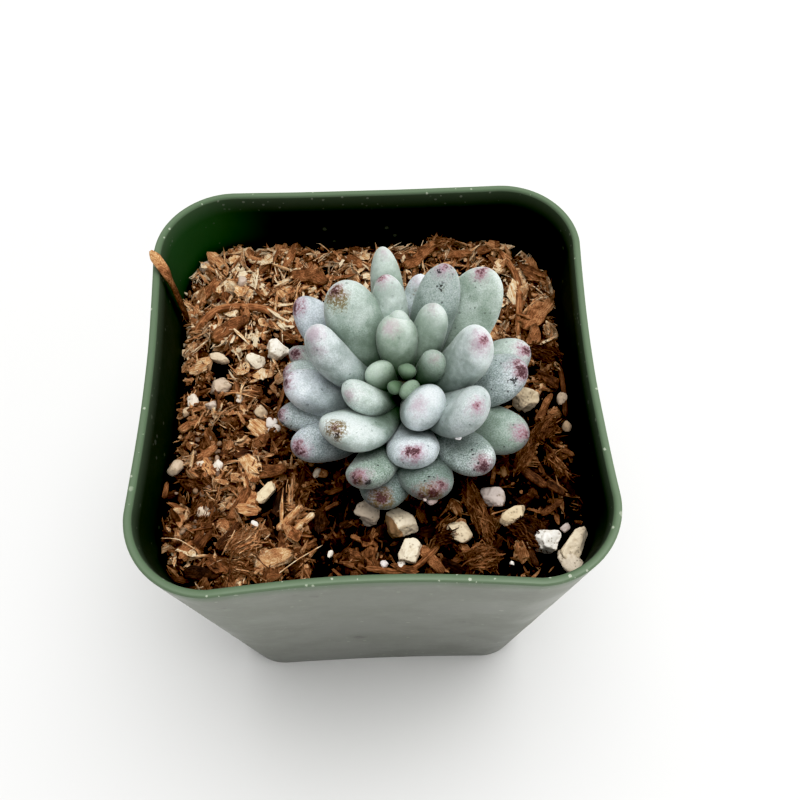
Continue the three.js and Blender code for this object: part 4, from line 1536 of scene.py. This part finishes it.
# Small pale bits that lie loose: x, y, half-size, tone, warmth and lift.
bitTable = [
    (1.1, -25.4, 0.65, 0.86, 0.1, 0.5),
    (3.4, -25.5, 0.6, 0.92, 0.5, 0.5),
    (26.0, -21.4, 0.7, 0.62, 0.1, 1.4),
    (18.4, -25.9, 0.35, 0.95, 0.5, 0.5),
    (-16.5, -19.2, 0.55, 0.9, 0.4, 0.4),
    (-22.0, -10.4, 0.85, 0.85, 0.5, 0.6),
    (-26.6, 0.6, 0.95, 0.8, 0.5, 0.5),
    (-14.4, -4.5, 0.7, 0.82, 0.3, 0.8),
    (-23.8, -17.2, 1.1, 0.68, 0.6, 0.8),
    (-16.5, -1.6, 1.0, 0.62, 0.8, 0.7),
    (-19.6, 1.0, 0.55, 0.8, 0.6, 0.6),
    (-27.4, -1.2, 0.7, 0.6, 0.9, 0.6),
    (-6.2, -23.7, 0.4, 0.9, 0.6, 0.6),
    (26.3, -26.0, 1.5, 0.82, 0.7, 0.1),
    (-28.0, -10.5, 1.1, 0.62, 0.7, 0.7),
    (-24.6, -10.0, 0.7, 0.74, 0.6, 0.5),
    (-14.8, -3.5, 0.8, 0.85, 0.3, 0.7),
    (28.2, -0.8, 0.8, 0.62, 0.7, 0.5),
    (28.4, -5.5, 0.7, 0.5, 0.8, 0.5),
    (-26.4, 25.3, 0.8, 0.6, 0.5, 0.6),
    (-26.6, 1.4, 0.5, 0.8, 0.5, 0.5),
    (-23.7, -0.2, 0.8, 0.66, 0.4, 0.6),
    (-8.2, -11.4, 0.6, 0.8, 0.6, 0.8),
    (-19.6, 0.4, 0.5, 0.8, 0.5, 0.5),
    (-20.2, 21.8, 0.8, 0.6, 0.4, 0.8),
]

# A patch of grey crumbs at the left front.
crumbPatch = {
    "count": 36,
    "centre": (-24.6, -12.6),
    "reach": (3.6, 9.0),
    "half": (0.25, 0.55),
    "lift": (0.2, 0.9),
    "tone": (0.02, 0.32),
    "warmth": (0.6, 1.0),
}

# Crumbs that cling to the leaves: leaf number, place along it, angle round it, half-size, tone
# and warmth.
clingTable = [
    (11, 0.65, -150, 0.42, 1.00, 0.0),
    (23, 0.93, -90, 0.85, 0.50, 0.0),
    (23, 0.95, -120, 0.40, 0.62, 0.1),
]


# What a grain is cut by: flat sides near the axes and elsewhere, then bumps and pits as depth and size.
grainValues = {
    "tip": 0.9,
    "nearSides": (0.76, 0.24),
    "otherSides": (0.72, 0.3),
    "otherCount": 6,
    "crispness": 26,
    "bumps": (0.09, 0.55),
    "fineBumps": (0.04, 0.2),
    "pits": (0.14, 0.24),
    "pitShare": 0.25,
}


def makeFacets(v, stream):
    # directions and distances of the flat sides: one near each axis, then some anywhere
    facets = []
    for side in ((1, 0, 0), (-1, 0, 0), (0, 1, 0), (0, -1, 0), (0, 0, 1), (0, 0, -1)):
        tipped = Vector(side) + Vector((about(stream), about(stream), about(stream))) * v["tip"]
        facets.append((tipped.normalized(), drawnSize(stream, v["nearSides"])))
    for _ in range(v["otherCount"]):
        axis = Vector((about(stream), about(stream), about(stream, 0.3))).normalized()
        facets.append((axis, drawnSize(stream, v["otherSides"])))
    return facets


def addGrain(shape, centre, halfSizes, yaw, looks, number, subdivisions=5):
    v = grainValues
    facets = makeFacets(v, makeRandom(101 + number * 17))
    tone, warmth, stainSide, stain = looks
    side = leafDirection(math.radians(stainSide - yaw), 0)
    turn = Matrix.Rotation(math.radians(yaw), 3, "Z")
    points, faces = makeBall(subdivisions)
    first = len(shape["vertices"])
    shape["faces"] += [tuple(first + k for k in face) for face in faces]
    for point in points:
        direction = point.normalized()
        crowd = sum((max(0.0, direction.dot(axis)) / reach) ** v["crispness"] for axis, reach in facets)
        point = direction * min(1.2, crowd ** (-1 / v["crispness"]))
        rough = v["bumps"][0] * wobble(*point, v["bumps"][1], number)
        rough += v["fineBumps"][0] * wobble(*point, v["fineBumps"][1], number + 5)
        rough -= v["pits"][0] * max(0.0, wobble(*point, v["pits"][1], number + 9) - v["pitShare"])
        point += direction * rough
        point = Vector([part * half for part, half in zip(point, halfSizes)])
        shape["vertices"].append(centre + turn @ point)
        shape["looks"].append((tone, warmth, stain * smoothStep(direction.dot(side), 0.3, 0.6)))


mineralColours = {
    "cream": [(0.0, (0.20, 0.12, 0.07)), (0.5, (0.52, 0.38, 0.24)), (0.8, (0.80, 0.68, 0.49)),
              (1.0, (0.92, 0.87, 0.76))],
    "grey": [(0.0, (0.14, 0.10, 0.09)), (0.5, (0.44, 0.36, 0.34)), (0.8, (0.72, 0.66, 0.65)),
             (1.0, (0.92, 0.90, 0.90))],
    "dirt": (0.34, 0.24, 0.14),
    "stain": (0.44, 0.24, 0.09),
    "pit": (0.30, 0.24, 0.18),
}


def makeMineral(c):
    material, nodes, skin = newMaterial("paleMineral", 0.85, 0.3)
    place = nodes.objectPlace()
    tone, warmth, stain = nodes.split(nodes.attribute("mineralLooks", "Vector"))
    dirt = nodes.mask(cloudGroup, Place=place, Scale=900.0, Low=0.5, High=0.72)
    pits = nodes.mask(speckGroup, Place=place, Scale=2400.0, Size=0.5, Share=0.4)
    body = nodes.mix(warmth, nodes.ramp(tone, c["grey"]), nodes.ramp(tone, c["cream"]))
    body = nodes.mix(nodes.times(dirt, 0.35), body, c["dirt"])
    ragged = nodes.minus(nodes.grain(place, 1400.0, 4.0, 0.7), 0.5)
    stained = nodes.span(nodes.plus(stain, nodes.times(ragged, 0.8)), 0.35, 0.6)
    body = nodes.mix(nodes.times(stained, 0.85), body, c["stain"])
    nodes.feed(skin["Base Color"], nodes.mix(nodes.times(pits, 0.5), body, c["pit"]))
    height = nodes.minus(nodes.grain(place, 2600.0, 4.0, 0.7), nodes.times(pits, 0.8))
    nodes.feed(skin["Normal"], nodes.bump(height, 0.7, 0.0002))
    return material


mineral = makeMineral(mineralColours)


def startGrains():
    return {"vertices": [], "faces": [], "looks": []}


def finishGrains(name, shape, *nodes):
    mesh = makeMesh(name, shape["vertices"], shape["faces"])
    addVectors(mesh, "mineralLooks", shape["looks"])
    settle(makePiece(name, mesh, mineral), "grain", *nodes)


def addPatch(shape, v, stream):
    # crumbs spread evenly over an oval
    for number in range(v["count"]):
        turn, far = 2 * math.pi * next(stream), next(stream) ** 0.5
        x = v["centre"][0] + v["reach"][0] * far * math.cos(turn)
        y = v["centre"][1] + v["reach"][1] * far * math.sin(turn)
        half = lerp(*v["half"], next(stream))
        centre = Vector((x, y, soilHeight(x, y) + lerp(*v["lift"], next(stream))))
        yaw = 180 * next(stream)
        looks = (lerp(*v["tone"], next(stream)), lerp(*v["warmth"], next(stream)), 0, 0.0)
        addGrain(shape, centre, (half, half * 0.8, half * 0.7), yaw, looks, number + 100, 2)


grains = startGrains()
for number, (x, y, along, across, up, yaw, tone) in enumerate(grainTable):
    centre = Vector((x, y, soilHeight(x, y) + up * 0.3))
    addGrain(grains, centre, (along, across, up), yaw, (tone, *grainLooks[number]), number)
finishGrains("mineralGrains", grains, *[f"perlite_{number + 1:02d}" for number in range(len(grainTable))])

bits = startGrains()
bitDraws = makeRandom(71)
for number, (x, y, half, tone, warmth, lift) in enumerate(bitTable):
    sizes = (half * (0.9 + 0.5 * next(bitDraws)), half * (0.7 + 0.3 * next(bitDraws)), half * 0.8)
    centre = Vector((x, y, soilHeight(x, y) + lift))
    addGrain(bits, centre, sizes, 180 * next(bitDraws), (tone, warmth, 0, 0.0), number + 40, 3)
addPatch(bits, crumbPatch, bitDraws)
for number, (owner, u, angle, half, tone, warmth) in enumerate(clingTable):
    leaf = Leaf(leafTable[owner], plantValues)
    centre = leaf.centre(u) + leaf.push(u, math.radians(angle))
    sizes = (half, half * 0.7, half * 0.6)
    addGrain(bits, centre, sizes, 40 * number, (tone, warmth, 0, 0.0), number + 80, 3)
finishGrains("paleBits", bits)
print("grains made")


# The floor and the soft light of a pale room.
stageValues = {
    "floorHalf": 600.0,
    "floorDrop": 0.02,
    "floorColour": (0.76, 0.76, 0.75),
    "skyColour": (1.0, 1.0, 1.0),
    "zenith": 0.48,
    "dimHorizon": 0.85,
    "brightHorizon": 2.1,
    "brightSide": (0.9, 0.1, 0.0),
    "lampPlace": (90.0, 130.0, 880.0),
    "lampSize": 800.0,
    "lampPower": 7.1,
    "blackLevel": 0.012,
    "curve": [(0.06, 0.04), (0.2, 0.155), (0.5, 0.5), (0.8, 0.84)],
}


def makeFloor(v):
    half = v["floorHalf"]
    mesh = makeMesh("floor", [(-half, -half, 0), (half, -half, 0), (half, half, 0), (-half, half, 0)],
                    [(0, 1, 2, 3)])
    material, nodes, skin = newMaterial("floorPaper", 0.9, 0.1)
    nodes.feed(skin["Base Color"], v["floorColour"])
    floor = makePiece("floor", mesh, material)
    floor.location.z = -v["floorDrop"] * mm
    floor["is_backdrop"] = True


def makeRoom(v):
    # the sky is brighter low down, and most of all on one side
    world = bpy.data.worlds.new("room")
    scene.world = world
    world.use_nodes = True
    nodes = Nodes(world.node_tree)
    sky = world.node_tree.nodes["Background"].inputs
    way = nodes.add("ShaderNodeTexCoord").outputs["Generated"]
    facing = nodes.vector("DOT_PRODUCT", way, v["brightSide"])["Value"]
    horizon = nodes.span(facing, -0.3, 0.9, v["dimHorizon"], v["brightHorizon"])
    nodes.feed(sky["Color"], v["skyColour"])
    nodes.feed(sky["Strength"], nodes.span(nodes.split(way)["Z"], 0.0, 0.8, horizon, v["zenith"]))


def makeLamp(v):
    data = bpy.data.lights.new("softLamp", "AREA")
    data.energy = v["lampPower"]
    data.shape = "DISK"
    data.size = v["lampSize"] * mm
    lamp = bpy.data.objects.new("softLamp", data)
    lamp.location = Vector(v["lampPlace"]) * mm
    lamp.rotation_euler = lamp.location.to_track_quat("Z", "Y").to_euler()
    scene.collection.objects.link(lamp)


def setView(v):
    # a plain transform, with the shadows pulled down a little
    scene.view_settings.view_transform = "Standard"
    scene.view_settings.use_curve_mapping = True
    curves = scene.view_settings.curve_mapping
    curves.black_level = [v["blackLevel"]] * 3
    for place, height in v["curve"]:
        curves.curves[3].points.new(place, height)
    curves.update()


makeFloor(stageValues)
makeRoom(stageValues)
makeLamp(stageValues)
setView(stageValues)

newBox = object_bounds()
sizes = {"cad": [list(corner) for corner in cadBox], "scene": [list(corner) for corner in newBox]}
